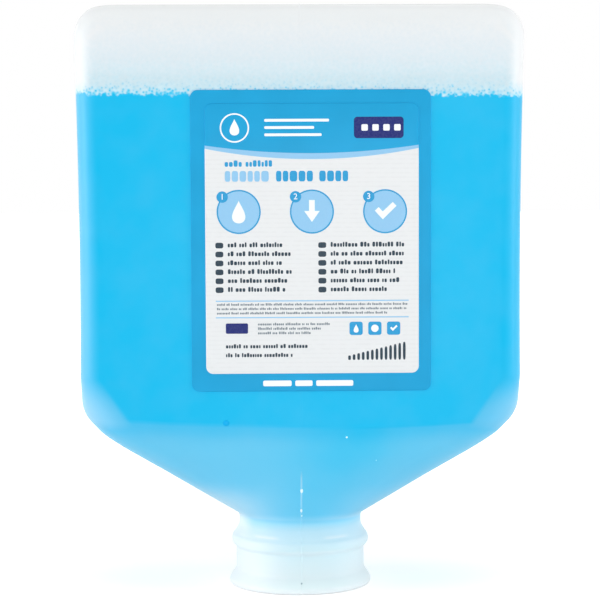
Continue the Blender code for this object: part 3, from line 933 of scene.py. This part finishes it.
# Drops as x and z, half width and half height in millimetres, and a flat colour; the near-white drops on
# the seam are painted highlights.
NIBS = (
    (0.1, 43.6, 0.55, 0.95, "#e6f8fe"), (0.0, 34.9, 0.45, 0.75, "#dff6fe"),
    (0.2, 32.6, 0.30, 0.40, "#c6effc"), (0.0, 4.6, 0.40, 0.40, "#9fb4bb"),
    (-30.6, 72.8, 1.30, 1.20, "#0aa9e4"), (18.4, 66.6, 0.40, 0.40, "#d9f6fe"),
    (30.6, 56.5, 0.30, 0.30, "#8fe0fa"),
)


def build_nibs(wall):
    """Small drops of plastic that the mould's vents and seam leave on the front."""
    surface = bmesh.new()
    colours = []
    skin = BVHTree.FromPolygons(
        [vertex.co for vertex in wall.vertices], [face.vertices for face in wall.polygons])
    for x, z, half_width, half_height, code in NIBS:
        front = skin.ray_cast(Vector((x * MM, -1.0, z * MM)), Vector((0.0, 1.0, 0.0)))[0].y
        made = bmesh.ops.create_icosphere(surface, subdivisions=3, radius=1.0)["verts"]
        for vertex in made:
            vertex.co.x = (x + vertex.co.x * half_width) * MM
            vertex.co.y = vertex.co.y * 0.32 * MM + front
            vertex.co.z = (z + vertex.co.z * half_height) * MM
            colours.extend((*linear(code), 1.0))
    mesh = mesh_of(surface, "mould_nibs", wall.materials[0])
    mesh.attributes.new("wall_paint", "FLOAT_COLOR", "POINT").data.foreach_set("color", colours)
    finish_piece(new_object("mould_nibs", mesh), "bottle_plastic")


# The contents

def inside_rings(form, top, bottom, gap):
    """Sections of what fills the bottle between two levels."""
    wall_top = form.height - form.sizes.base_edge_height
    heights = form.wall_heights(min(wall_top, top + 2 * MM), bottom - 0.2 * MM)
    rings = np.array([form.wall_ring(height, 0.0) for height in heights])
    inset = inset_rings(rings, form.sizes.wall + gap)
    inset[:, :, 2] = np.clip(inset[:, :, 2], bottom, top)
    return inset


def capped(rings, top_rise):
    """Adds a surface of shrinking sections on top, each raised as top_rise says."""
    top = rings[0]
    middle = top.mean(axis=0)
    caps = []
    for share in (0.03, 0.2, 0.4, 0.6, 0.75, 0.86, 0.93, 0.965, 0.985, 0.996):
        ring = middle + (top - middle) * share
        ring[:, 2] = [top_rise(point, share) for point in ring]
        caps.append(ring)
    rim = top.copy()
    rim[:, 2] = [top_rise(point, 1.0) for point in rim]
    lower = [ring for ring in rings[1:] if ring[:, 2].max() < rim[:, 2].min() - 0.05 * MM]
    return np.array(caps + [rim] + lower)


def build_soap(bottle, contents):
    form = BottleForm(bottle)
    level = soap_high[2]
    rings = inside_rings(form, level, plug_high[2] + 0.3 * MM, 0.15 * MM)

    def meniscus(point, share):
        return level - contents.meniscus * (1 - smooth_share(share, 0.86, 1.0))

    mesh = mesh_of(loft(capped(rings, meniscus)), "soap_liquid", cyan_soap(contents))
    finish_piece(new_object("soap_liquid", mesh), "liquid_soap", "soap")


def froth_base(form, level):
    """The froth's body, with a lumpy top a little under its level."""
    rings = inside_rings(form, level, froth_low[2], 0.12 * MM)

    def lumpy(point, share):
        wave = math.sin(point[0] * 210 + 1.3) * math.sin(point[1] * 260 + 0.4)
        ripple = math.sin(point[0] * 560 + 2.1) * math.cos(point[1] * 610)
        return level - 0.9 * MM + 0.6 * MM * wave + 0.3 * MM * ripple

    return loft(capped(rings, lumpy))


def bubble_tree(material):
    """Scatters bubbles of two sizes over a surface."""
    tree, given = new_geometry_tree("froth bubbles", [
        ("Density", "NodeSocketFloat", 1000.0), ("Radius", "NodeSocketFloat", 0.001),
        ("Seed", "NodeSocketInt", 0)])
    crowd = add_node(tree, "GeometryNodeInputNamedAttribute", {"Name": "crowd"}, data_type="FLOAT")
    density = add_node(
        tree, "ShaderNodeMath", {0: given["Density"], 1: crowd}, operation="MULTIPLY")
    scattered = add_node(
        tree, "GeometryNodeDistributePointsOnFaces",
        {"Mesh": given["Geometry"], "Density": density, "Seed": given["Seed"]},
        distribute_method="RANDOM")
    bubble = add_node(
        tree, "GeometryNodeMeshUVSphere", {"Segments": 7, "Rings": 5, "Radius": 1.0})
    chance = add_node(
        tree, "FunctionNodeRandomValue", {"Min": 0.0, "Max": 1.0, "Seed": given["Seed"]},
        data_type="FLOAT")
    mostly_small = add_node(tree, "ShaderNodeMath", {0: chance, 1: 2.5}, operation="POWER")
    spread = add_node(
        tree, "ShaderNodeMapRange", {"Value": mostly_small, "To Min": 0.32, "To Max": 1.0})
    size = add_node(
        tree, "ShaderNodeMath", {0: spread, 1: given["Radius"]}, operation="MULTIPLY")
    placed = add_node(
        tree, "GeometryNodeInstanceOnPoints",
        {"Points": scattered, "Instance": bubble, "Scale": size})
    return end_geometry_tree(tree, placed, material)


def bubble_field(form, level):
    """The strip behind the wall on which bubbles cling, and how crowded each part is."""
    bottom = soap_high[2] - 1.4 * MM
    rings = inside_rings(form, level, bottom, 0.55 * MM)
    mesh = plain_mesh("bubble field", loft(rings, closed=False))
    values = []
    for vertex in mesh.vertices:
        rise = vertex.co.z - soap_high[2]
        share = smooth_share(rise, -1.4 * MM, 0.8 * MM)
        values.append(share * share * (1 - 0.8 * smooth_share(rise, 1.5 * MM, 8 * MM)))
    mesh.attributes.new("crowd", "FLOAT", "POINT").data.foreach_set("value", values)
    return mesh


def build_froth(bottle, contents):
    form = BottleForm(bottle)
    level = froth_high[2]
    mesh = mesh_of(froth_base(form, level), "froth_layer", soap_froth(contents))
    finish_piece(new_object("froth_layer", mesh), "froth", "froth")
    bubbles = grow(
        "froth_bubbles", bubble_field(form, level - 1.5 * MM), bubble_tree(soap_bubble()),
        {"Density": contents.bubble_density, "Radius": contents.bubble_radius,
         "Seed": contents.bubble_seed})
    bubbles.data.shade_smooth()
    finish_piece(bubbles, "froth")


# The plug

TURNING_RADIUS = 1.0 * MM


def turning_tree(material):
    """Turns an outline about the upright axis and closes it on that axis."""
    tree, given = new_geometry_tree("turned piece", [("Steps", "NodeSocketInt", 96)])
    outline = add_node(tree, "GeometryNodeMeshToCurve", {"Mesh": given["Geometry"]})
    circle = add_node(
        tree, "GeometryNodeCurvePrimitiveCircle",
        {"Resolution": given["Steps"], "Radius": TURNING_RADIUS}, mode="RADIUS")
    level = add_node(tree, "GeometryNodeSetCurveNormal", {"Curve": circle}, mode="Z_UP")
    turned = add_node(
        tree, "GeometryNodeCurveToMesh", {"Curve": level, "Profile Curve": outline})
    closed = add_node(
        tree, "GeometryNodeMergeByDistance", {"Geometry": turned, "Distance": 0.001 * MM})
    return end_geometry_tree(tree, closed, material)


def plug_outline(settings):
    """Outline of the plug's cup, from the middle of its top round to the middle below it."""
    rib_rise = 0.4 * MM
    rib_spacing = 5.0 * MM
    rib_half_height = 0.8 * MM
    clearance = 0.3 * MM
    radius = settings.neck_radius - settings.finish_wall - clearance - rib_rise
    easing = 0.2 * MM
    lip_radius = plug_high[0]
    lip_top = 1.9 * MM
    lip_bottom = plug_low[2]
    top = plug_high[2]
    wall = 1.4 * MM
    ceiling = top - 1.2 * MM
    socket_radius = radius - wall
    rounding = 1.0 * MM
    tear_radius = 9.0 * MM
    groove = 0.8 * MM
    points = [
        (0.0, top), (tear_radius - groove, top), (tear_radius - groove / 2, top - 0.7 * MM),
        (tear_radius, top)]
    for share in shares(6):
        angle = math.pi / 2 * (1 - share)
        points.append((
            radius - rounding * (1 - math.cos(angle)), top - rounding * (1 - math.sin(angle))))
    for rib in range(4):
        height = settings.finish_height - 2.5 * MM - rib * rib_spacing
        for share in shares(8):
            rise = rib_rise * math.sin(math.pi * share) ** 2
            points.append((radius + rise, height + rib_half_height - 2 * rib_half_height * share))
    return points + [
        (radius, lip_top + 0.3 * MM), (radius + 0.3 * MM, lip_top),
        (lip_radius - easing, lip_top), (lip_radius, lip_top - easing),
        (lip_radius, lip_bottom + easing), (lip_radius - easing, lip_bottom),
        (socket_radius + 0.5 * MM, lip_bottom), (socket_radius, lip_bottom + 0.5 * MM),
        (socket_radius, ceiling - rounding),
        (socket_radius - rounding * 0.3, ceiling - rounding * 0.3),
        (socket_radius - rounding, ceiling), (0.0, ceiling),
    ]


def build_plug(settings):
    points = [(radius - TURNING_RADIUS, -height, 0.0) for radius, height in plug_outline(settings)]
    outline = bpy.data.meshes.new("plug outline")
    outline.from_pydata(points, [(index, index + 1) for index in range(len(points) - 1)], [])
    piece = grow("plug_cup", outline, turning_tree(plug_polyethylene()), {"Steps": 96})
    piece.data.shade_smooth()
    piece.data.set_sharp_from_angle(angle=math.radians(50))
    finish_piece(piece, "plug_plastic", "neck_plug")


# The label and its print

FILM_FRONT = label_low[1] - 0.10 * MM
PAPER_FRONT = leaflet_low[1] + 0.06 * MM
LABEL_MIDDLE = ((label_low[0] + label_high[0]) / 2, (label_low[2] + label_high[2]) / 2)
LEAFLET_MIDDLE = ((leaflet_low[0] + leaflet_high[0]) / 2, (leaflet_low[2] + leaflet_high[2]) / 2)
LEAFLET_HALF = ((leaflet_high[0] - leaflet_low[0]) / 2, (leaflet_high[2] - leaflet_low[2]) / 2)


def arc_points(centre, radius, start, end, steps=10):
    """Points of an arc between two angles in degrees."""
    angles = [math.radians(start + (end - start) * share) for share in shares(steps)]
    return [
        (centre[0] + radius * math.cos(angle), centre[1] + radius * math.sin(angle))
        for angle in angles
    ]


def curve_points(half_x, curve, direction, steps=24):
    """Points of a curve across the leaflet, which gives the height for each place."""
    places = [half_x * (2 * share - 1) * direction for share in shares(steps)]
    return [(x, curve(x)) for x in places]


def sheet_outline(half_x, half_z, corner, inset, top=None, bottom=None):
    """Outline of a rounded sheet, or of the part of it between two curves."""
    half_x, half_z, corner = half_x - inset, half_z - inset, corner - inset
    points = []
    if top:
        points += curve_points(half_x, top, -1)
    else:
        points += arc_points((half_x - corner, half_z - corner), corner, 0, 90)
        points += arc_points((corner - half_x, half_z - corner), corner, 90, 180)
    if bottom:
        points += curve_points(half_x, bottom, 1)
    else:
        points += arc_points((corner - half_x, corner - half_z), corner, 180, 270)
        points += arc_points((half_x - corner, corner - half_z), corner, 270, 360)
    return points


def join_rows(surface, row, next_row, material_index=0):
    """Joins two rows of points that run the same way with a band of faces."""
    for index, point in enumerate(row):
        after = (index + 1) % len(row)
        face = surface.faces.new((point, row[after], next_row[after], next_row[index]))
        face.material_index = material_index


def add_solid(surface, rows, material_index=0):
    """Adds a closed solid through outlines given as (points, y), from the back to the front."""
    made = [[surface.verts.new((x, y, z)) for x, z in points] for points, y in rows]
    for row, next_row in zip(made, made[1:]):
        join_rows(surface, row, next_row, material_index)
    for end in (made[-1], list(reversed(made[0]))):
        surface.faces.new(end).material_index = material_index


def moved(points, centre, size=1.0):
    return [(centre[0] + x * size, centre[1] + z * size) for x, z in points]


def bent_rows(outline, middle, back, front, bend):
    """Rows of a sheet whose edge is bent back; outline gives its points for an inset."""
    return [
        (moved(outline(0.0), middle), back),
        (moved(outline(0.0), middle), front + bend * 0.45),
        (moved(outline(bend * 0.35), middle), front + bend * 0.12),
        (moved(outline(bend), middle), front),
    ]


def sheet_piece(name, surface, materials, slot, *nodes):
    bmesh.ops.recalc_face_normals(surface, faces=surface.faces[:])
    mesh = mesh_of(surface, name, materials[0], 50)
    for material in materials[1:]:
        mesh.materials.append(material)
    finish_piece(new_object(name, mesh), slot, *nodes)


def build_film(settings):
    """The film with the wide blue border, pressed down at its edge."""
    half_x = (label_high[0] - label_low[0]) / 2
    half_z = (label_high[2] - label_low[2]) / 2

    def outline(inset):
        return sheet_outline(half_x, half_z, settings.film_corner, inset)

    surface = bmesh.new()
    back = label_high[1] + 0.26 * MM
    add_solid(surface, bent_rows(outline, LABEL_MIDDLE, back, FILM_FRONT, 0.4 * MM))
    sheet_piece("label_film", surface, [printed_film(settings)], "label_film", "label_base")


def header_edge(x):
    """Lower edge of the blue header, as a height over the leaflet's middle."""
    return LEAFLET_HALF[1] - 20.0 * MM + 3.2 * MM * (x / LEAFLET_HALF[0]) ** 2


def band_edge(x):
    """Lower edge of the pale band under the header."""
    return header_edge(x) - 2.4 * MM + 1.1 * MM * (x / LEAFLET_HALF[0]) ** 2


def build_leaflet(settings):
    """The leaflet: blue header, pale band and white panel, with its edge bent down."""
    half_x, half_z = LEAFLET_HALF
    corner = settings.leaflet_corner
    surface = bmesh.new()
    parts = ((None, header_edge), (header_edge, band_edge), (band_edge, None))
    for index, (top, bottom) in enumerate(parts):
        def outline(inset):
            return sheet_outline(half_x, half_z, corner, inset, top, bottom)
        rows = bent_rows(outline, LEAFLET_MIDDLE, FILM_FRONT + 0.02 * MM, PAPER_FRONT, 0.45 * MM)
        add_solid(surface, rows, index)
    blue = printed_film(settings)
    pale = printing_ink("pale_blue_ink", settings.pale_colour)
    sheet_piece(
        "leaflet_sheet", surface, [blue, pale, coated_paper(settings)], "leaflet_paper",
        "label_leaflet")


class Print:
    """Flat shapes of one ink. Places are in millimetres from the leaflet's upper left corner."""

    def __init__(self, settings, front=PAPER_FRONT):
        self.surface = bmesh.new()
        self.thickness = settings.ink_thickness
        self.front = front

    def place(self, across, down):
        return (leaflet_low[0] + across * MM, leaflet_high[2] - down * MM)

    def shape(self, points, across, down, layer=1, size=MM):
        """Adds a filled outline, given about its own middle."""
        front = self.front - layer * self.thickness
        outline = moved(points, self.place(across, down), size)
        add_solid(self.surface, [(outline, front + self.thickness * 0.9), (outline, front)])

    def bar(self, across, down, width, height, corner=0.3, layer=1):
        corner = min(corner, width / 2 - 0.01, height / 2 - 0.01)
        self.shape(
            sheet_outline(width / 2, height / 2, corner, 0.0), across + width / 2, down, layer)

    def ring(self, across, down, outer, inner, layer=1, steps=48):
        front = self.front - layer * self.thickness
        back = front + self.thickness * 0.9
        centre = self.place(across, down)
        rows = []
        for radius, y in ((outer, back), (outer, front), (inner, front), (inner, back)):
            circle = moved(arc_points((0, 0), radius, 0, 360, steps)[:-1], centre, MM)
            rows.append([self.surface.verts.new((x, y, z)) for x, z in circle])
        for row, next_row in zip(rows, rows[1:] + rows[:1]):
            join_rows(self.surface, row, next_row)

    def disc(self, across, down, radius, layer=1):
        self.shape(arc_points((0, 0), radius, 0, 360, 40)[:-1], across, down, layer)

    def piece(self, name, material, slot="leaflet_paper"):
        sheet_piece(name, self.surface, [material], slot)


def drop_points(height, steps=40):
    """A plain drop, point up."""
    points = []
    for share in shares(steps)[:-1]:
        angle = 2 * math.pi * share
        width = math.sin(angle) * math.sin(angle / 2) ** 1.6
        points.append((width * height * 0.42, math.cos(angle) * height / 2))
    return points


ARROW = (
    (-0.22, 0.9), (-0.22, 0.05), (-0.6, 0.05), (0, -0.8), (0.6, 0.05), (0.22, 0.05), (0.22, 0.9))
TICK = ((-0.8, 0.05), (-0.5, 0.33), (-0.18, -0.02), (0.6, 0.72), (0.88, 0.42), (-0.18, -0.62))


def sized(points, size):
    return [(size * x, size * z) for x, z in points]


BADGES = (13.5, 43.0, 72.5)
BADGE_DOWN = 43.5


def numeral_piece(label, across, down, size, layer, settings, material):
    """A plain step number, as a thin flat shape."""
    curve = bpy.data.curves.new("numeral", "FONT")
    curve.body = label
    curve.size = size * MM
    curve.align_x = "CENTER"
    curve.align_y = "CENTER"
    curve.extrude = settings.ink_thickness / 2
    holder = new_object("numeral", curve)
    depsgraph = bpy.context.evaluated_depsgraph_get()
    mesh = bpy.data.meshes.new_from_object(holder.evaluated_get(depsgraph), depsgraph=depsgraph)
    bpy.data.objects.remove(holder)
    mesh.transform(Matrix.Rotation(math.pi / 2, 4, "X"))
    x = leaflet_low[0] + across * MM
    z = leaflet_high[2] - down * MM
    mesh.transform(Matrix.Translation((x, PAPER_FRONT - (layer - 0.5) * settings.ink_thickness, z)))
    mesh.materials.clear()
    mesh.materials.append(material)
    finish_piece(new_object("step_number_" + label, mesh), "leaflet_paper")


def build_print(settings):
    """Plain fields of ink: badges, rules, a title block and small signs."""
    blue = printing_ink("process_blue_ink", settings.blue_colour)
    pale = printing_ink("pale_blue_ink", settings.pale_colour)
    white = printing_ink("opaque_white_ink", settings.white_colour)
    navy = printing_ink("navy_ink", settings.navy_colour)

    blues = Print(settings)
    for across in BADGES:
        blues.ring(across, BADGE_DOWN, 8.9, 8.3)
        blues.disc(across - 6.6, BADGE_DOWN - 6.0, 2.3, 2)
    for step in range(3):
        blues.bar(58.0 + 7.6 * step, 90.8, 5.4, 5.4, 1.0)
    blues.piece("print_blue", blue)

    pales = Print(settings)
    for across in BADGES:
        pales.disc(across, BADGE_DOWN, 8.3)
    for down in (79.5, 86.2):
        pales.bar(4.0, down, 78.0, 0.45, 0.2)
    pales.piece("print_pale_blue", pale)

    whites = Print(settings)
    whites.ring(12.0, 9.8, 5.9, 5.3)
    whites.shape(drop_points(6.6), 12.0, 9.5)
    whites.shape(drop_points(9.2), BADGES[0], BADGE_DOWN, 2)
    whites.shape(sized(ARROW, 5.2), BADGES[1], BADGE_DOWN, 2)
    whites.shape(sized(TICK, 5.2), BADGES[2], BADGE_DOWN, 2)
    for step, width in enumerate((26.0, 20.0, 23.0)):
        whites.bar(24.0, 6.8 + 2.9 * step, width, 1.1, 0.4)
    whites.shape(drop_points(3.4), 60.7, 90.8, 2)
    whites.disc(68.3, 90.8, 1.5, 2)
    whites.shape(sized(TICK, 1.8), 75.9, 90.8, 2)
    for step in range(4):
        whites.bar(63.0 + 4.4 * step, 9.8, 2.6, 2.6, 0.5, 2)
    whites.piece("print_white", white)

    navies = Print(settings)
    navies.bar(60.0, 9.8, 20.0, 8.6, 1.4)
    navies.bar(8.0, 90.6, 9.0, 4.2, 0.6)
    navies.piece("print_navy", navy)

    border = Print(settings, FILM_FRONT)
    for across, width in ((23.0, 11.5), (36.0, 7.0), (44.5, 15.0)):
        border.bar(across, 113.0, width, 2.3, 0.6)
    border.piece("print_border", white, "label_film")

    for label, across in zip("123", BADGES):
        numeral_piece(label, across - 6.6, BADGE_DOWN - 6.0, 3.4, 3, settings, white)


def marks_tree(material):
    """Sets a small rounded block of ink on each point, stretched by the point's size."""
    tree, given = new_geometry_tree("printed marks", [
        ("Corner", "NodeSocketFloat", 0.3), ("Thickness", "NodeSocketFloat", 0.00003)])
    square = add_node(
        tree, "GeometryNodeCurvePrimitiveQuadrilateral", {"Width": 1.0, "Height": 1.0})
    rounded = add_node(
        tree, "GeometryNodeFilletCurve",
        {"Curve": square, "Radius": given["Corner"], "Count": 3}, mode="POLY")
    filled = add_node(tree, "GeometryNodeFillCurve", {"Curve": rounded}, mode="NGONS")
    raised = add_node(
        tree, "GeometryNodeExtrudeMesh", {"Mesh": filled, "Offset Scale": given["Thickness"]},
        mode="FACES")
    joined = add_node(tree, "GeometryNodeJoinGeometry", {"Geometry": raised})
    feed(tree, joined, {"Geometry": add_node(tree, "GeometryNodeFlipFaces", {"Mesh": filled})})
    closed = add_node(
        tree, "GeometryNodeMergeByDistance", {"Geometry": joined, "Distance": 0.001 * MM})
    size = add_node(
        tree, "GeometryNodeInputNamedAttribute", {"Name": "size"}, data_type="FLOAT_VECTOR")
    placed = add_node(
        tree, "GeometryNodeInstanceOnPoints",
        {"Points": given["Geometry"], "Instance": closed,
         "Rotation": (math.pi / 2, 0.0, 0.0), "Scale": size})
    return end_geometry_tree(tree, placed, material)


def text_line(marks, draw, across, down, span, height):
    """Adds blocks that stand for one line of small print, grouped like words."""
    end = across + span
    while across < end:
        letters = draw.integers(2, 10)
        for _ in range(letters):
            width = height * draw.uniform(0.45, 0.85)
            tall = 1.35 if draw.random() < 0.28 else 1.0
            if across + width > end:
                return
            marks.append((across + width / 2, down - height * (tall - 1) / 2, width, height * tall))
            across += width + height * 0.20
        across += height * 0.62


def build_small_print(settings):
    """Lines of plain blocks that stand for the leaflet's small print."""
    draw = np.random.default_rng(settings.text_seed)
    slate, grey, title, subtitle = [], [], [], []
    for start, letters, marks in ((8.0, 6, subtitle), (28.6, 5, title), (46.0, 4, title)):
        across = start
        for _ in range(letters):
            width = draw.uniform(2.1, 3.1)
            marks.append((across + width / 2, 29.2, width, 4.3))
            across += width + 0.55
    text_line(title, draw, 8.0, 24.4, 20.0, 1.9)
    for row in range(6):
        for start, span in ((9.0, 31.0), (50.5, 31.0)):
            down = 57.0 + 3.6 * row
            share = 0.72 + 0.28 * draw.random()
            slate.append((start - 3.4, down, 3.2, 2.3))
            text_line(slate, draw, start, down, span * share, 1.45)
    for row in range(3):
        text_line(grey, draw, 4.5, 81.0 + 1.75 * row, 77.0 * (0.9 if row == 2 else 1.0), 0.72)
    for row in range(3):
        text_line(grey, draw, 21.0, 89.0 + 1.8 * row, 30.0 - 4 * row, 0.8)
    for step in range(13):
        height = 1.8 + 0.45 * step
        slate.append((58.0 + 1.85 * step, 103.6 - height / 2, 1.1, height))
    text_line(slate, draw, 8.0, 98.0, 34.0, 1.25)
    text_line(slate, draw, 8.0, 101.6, 28.0, 1.25)
    inks = (
        ("title_blue", title, printing_ink("title_blue_ink", settings.blue_colour)),
        ("title_pale", subtitle, printing_ink("title_pale_ink", settings.pale_colour)),
        ("small_print_slate", slate, printing_ink("slate_ink", settings.slate_colour)),
        ("small_print_grey", grey, printing_ink("grey_ink", settings.grey_colour)),
    )
    for name, marks, material in inks:
        places = [
            (leaflet_low[0] + across * MM, PAPER_FRONT, leaflet_high[2] - down * MM)
            for across, down, _, _ in marks
        ]
        points = bpy.data.meshes.new(name)
        points.from_pydata(places, [], [])
        size = points.attributes.new("size", "FLOAT_VECTOR", "POINT")
        sizes = [value for _, _, width, height in marks for value in (width * MM, height * MM, 1.0)]
        size.data.foreach_set("vector", sizes)
        piece = grow(name, points, marks_tree(material), {
            "Corner": 0.28, "Thickness": settings.ink_thickness})
        finish_piece(piece, "leaflet_paper")


# The stage

SOFTBOXES = (
    ("left softbox", (-0.90, -0.22, 0.22), 0.4, 3.3),
    ("right softbox", (0.90, -0.26, 0.22), 0.4, 2.5),
    ("low softbox", (0.05, -0.80, 0.10), 0.24, 1.3),
    ("top softbox", (0.10, -0.15, 1.0), 0.8, 2.0),
)


def seen_directly(tree):
    """1 where the camera sees something straight on, in a reflection or through glass."""
    path = add_node(tree, "ShaderNodeLightPath").outputs
    mirrored = add_node(
        tree, "ShaderNodeMath", {0: path["Is Glossy Ray"], 1: path["Is Transmission Ray"]},
        operation="MAXIMUM")
    return add_node(
        tree, "ShaderNodeMath", {0: path["Is Camera Ray"], 1: mirrored}, operation="MAXIMUM")


def place_camera(settings):
    camera = new_object("camera", bpy.data.cameras.new("camera"))
    camera.data.lens = settings.lens
    camera.data.sensor_width = 36.0
    camera.data.clip_start = 0.05
    camera.data.shift_x = settings.shift
    camera.location = (
        -math.sin(settings.turn) * settings.distance,
        -math.cos(settings.turn) * settings.distance,
        settings.height,
    )
    aim = Euler((math.pi / 2 - settings.pitch, 0.0, -settings.turn)).to_quaternion()
    lean = Quaternion((0.0, 0.0, 1.0), -settings.roll)
    camera.rotation_euler = (aim @ lean).to_euler()
    bpy.context.scene.camera = camera


def light_room(settings):
    """An even white room with four plain softboxes."""
    world = bpy.data.worlds.new("room")
    bpy.context.scene.world = world
    world.use_nodes = True
    tree = world.node_tree
    strength = add_node(
        tree, "ShaderNodeMapRange",
        {"Value": seen_directly(tree), "To Min": settings.room_light, "To Max": 1.0})
    feed(tree, tree.nodes["Background"], {"Color": (1.0, 1.0, 1.0, 1.0), "Strength": strength})
    for name, place, size, power in SOFTBOXES:
        lamp = bpy.data.lights.new(name, "AREA")
        lamp.shape = "SQUARE"
        lamp.size = size
        lamp.energy = power
        holder = new_object(name, lamp)
        holder.location = place
        aim = Vector((0.0, 0.0, 0.12)) - Vector(place)
        holder.rotation_euler = aim.to_track_quat("-Z", "Y").to_euler()


def lay_floor():
    """A pale matt floor just under the lip, which turns white away from the pack's shadow."""
    surface = bmesh.new()
    under_lip = Matrix.Translation((0.0, 0.0, -0.2 * MM))
    bmesh.ops.create_grid(surface, x_segments=1, y_segments=1, size=6.0, matrix=under_lip)
    mesh = plain_mesh("floor", surface)
    material, tree, shader, place, _ = new_material("pale_matt_floor")
    away = add_node(tree, "ShaderNodeVectorMath", {0: place}, operation="LENGTH")
    whiter = add_node(
        tree, "ShaderNodeMapRange",
        {"Value": away, "From Min": 0.10, "From Max": 0.5, "To Min": 0.38, "To Max": 1.0},
        interpolation_type="SMOOTHSTEP")
    glow = add_node(
        tree, "ShaderNodeMath", {0: seen_directly(tree), 1: whiter}, operation="MULTIPLY")
    feed(tree, shader, {
        "Base Color": (0.93, 0.93, 0.93, 1.0), "Roughness": 0.9,
        "Emission Color": (1.0, 1.0, 1.0, 1.0), "Emission Strength": glow})
    mesh.materials.append(material)
    new_object("floor", mesh)


def build_stage(settings):
    bpy.context.scene.view_settings.view_transform = "Standard"
    place_camera(settings)
    light_room(settings)
    lay_floor()


# Operators

class SOAPPACK_OT_bottle(bpy.types.Operator):
    """Builds the blown bottle with its neck and mould seam"""

    bl_idname = "soappack.bottle"
    bl_label = "Build bottle"

    def execute(self, context):
        build_bottle(context.scene.soap_pack_bottle)
        return {"FINISHED"}


class SOAPPACK_OT_contents(bpy.types.Operator):
    """Fills the bottle with soap and froth"""

    bl_idname = "soappack.contents"
    bl_label = "Build contents"

    def execute(self, context):
        scene = context.scene
        build_soap(scene.soap_pack_bottle, scene.soap_pack_contents)
        build_froth(scene.soap_pack_bottle, scene.soap_pack_contents)
        return {"FINISHED"}


class SOAPPACK_OT_plug(bpy.types.Operator):
    """Builds the plug in the neck"""

    bl_idname = "soappack.plug"
    bl_label = "Build plug"

    def execute(self, context):
        build_plug(context.scene.soap_pack_bottle)
        return {"FINISHED"}


class SOAPPACK_OT_label(bpy.types.Operator):
    """Builds the label's film and leaflet"""

    bl_idname = "soappack.label"
    bl_label = "Build label"

    def execute(self, context):
        build_film(context.scene.soap_pack_label)
        build_leaflet(context.scene.soap_pack_label)
        return {"FINISHED"}


class SOAPPACK_OT_print(bpy.types.Operator):
    """Prints the leaflet and the film's border with plain shapes"""

    bl_idname = "soappack.print"
    bl_label = "Print label"

    def execute(self, context):
        build_print(context.scene.soap_pack_label)
        build_small_print(context.scene.soap_pack_label)
        return {"FINISHED"}


class SOAPPACK_OT_stage(bpy.types.Operator):
    """Sets up the camera, the floor and the light"""

    bl_idname = "soappack.stage"
    bl_label = "Set stage"

    def execute(self, context):
        build_stage(context.scene.soap_pack_stage)
        return {"FINISHED"}


OPERATORS = (
    SOAPPACK_OT_stage, SOAPPACK_OT_bottle, SOAPPACK_OT_contents, SOAPPACK_OT_plug,
    SOAPPACK_OT_label, SOAPPACK_OT_print,
)
SETTINGS = {
    "soap_pack_bottle": BottleSettings,
    "soap_pack_contents": ContentsSettings,
    "soap_pack_label": LabelSettings,
    "soap_pack_stage": StageSettings,
}


class SOAPPACK_PT_sidebar(bpy.types.Panel):
    """Lists the pack's builders and settings"""

    bl_idname = "SOAPPACK_PT_sidebar"
    bl_label = "Hand Soap Refill Pack"
    bl_space_type = "VIEW_3D"
    bl_region_type = "UI"
    bl_category = "Soap Pack"

    def draw(self, context):
        for operator in OPERATORS:
            self.layout.operator(operator.bl_idname)
        for name, group in SETTINGS.items():
            box = self.layout.box()
            settings = getattr(context.scene, name)
            for key in group.__annotations__:
                box.prop(settings, key)


CLASSES = tuple(SETTINGS.values()) + OPERATORS + (SOAPPACK_PT_sidebar,)


def register():
    for registered in CLASSES:
        bpy.utils.register_class(registered)
    for name, group in SETTINGS.items():
        setattr(bpy.types.Scene, name, PointerProperty(type=group))


def unregister():
    for name in SETTINGS:
        delattr(bpy.types.Scene, name)
    for registered in reversed(CLASSES):
        bpy.utils.unregister_class(registered)


def main():
    register()
    bpy.ops.soappack.stage()
    bpy.ops.soappack.bottle()
    bpy.ops.soappack.contents()
    bpy.ops.soappack.plug()
    bpy.ops.soappack.label()
    bpy.ops.soappack.print()


if __name__ == "__main__":
    main()
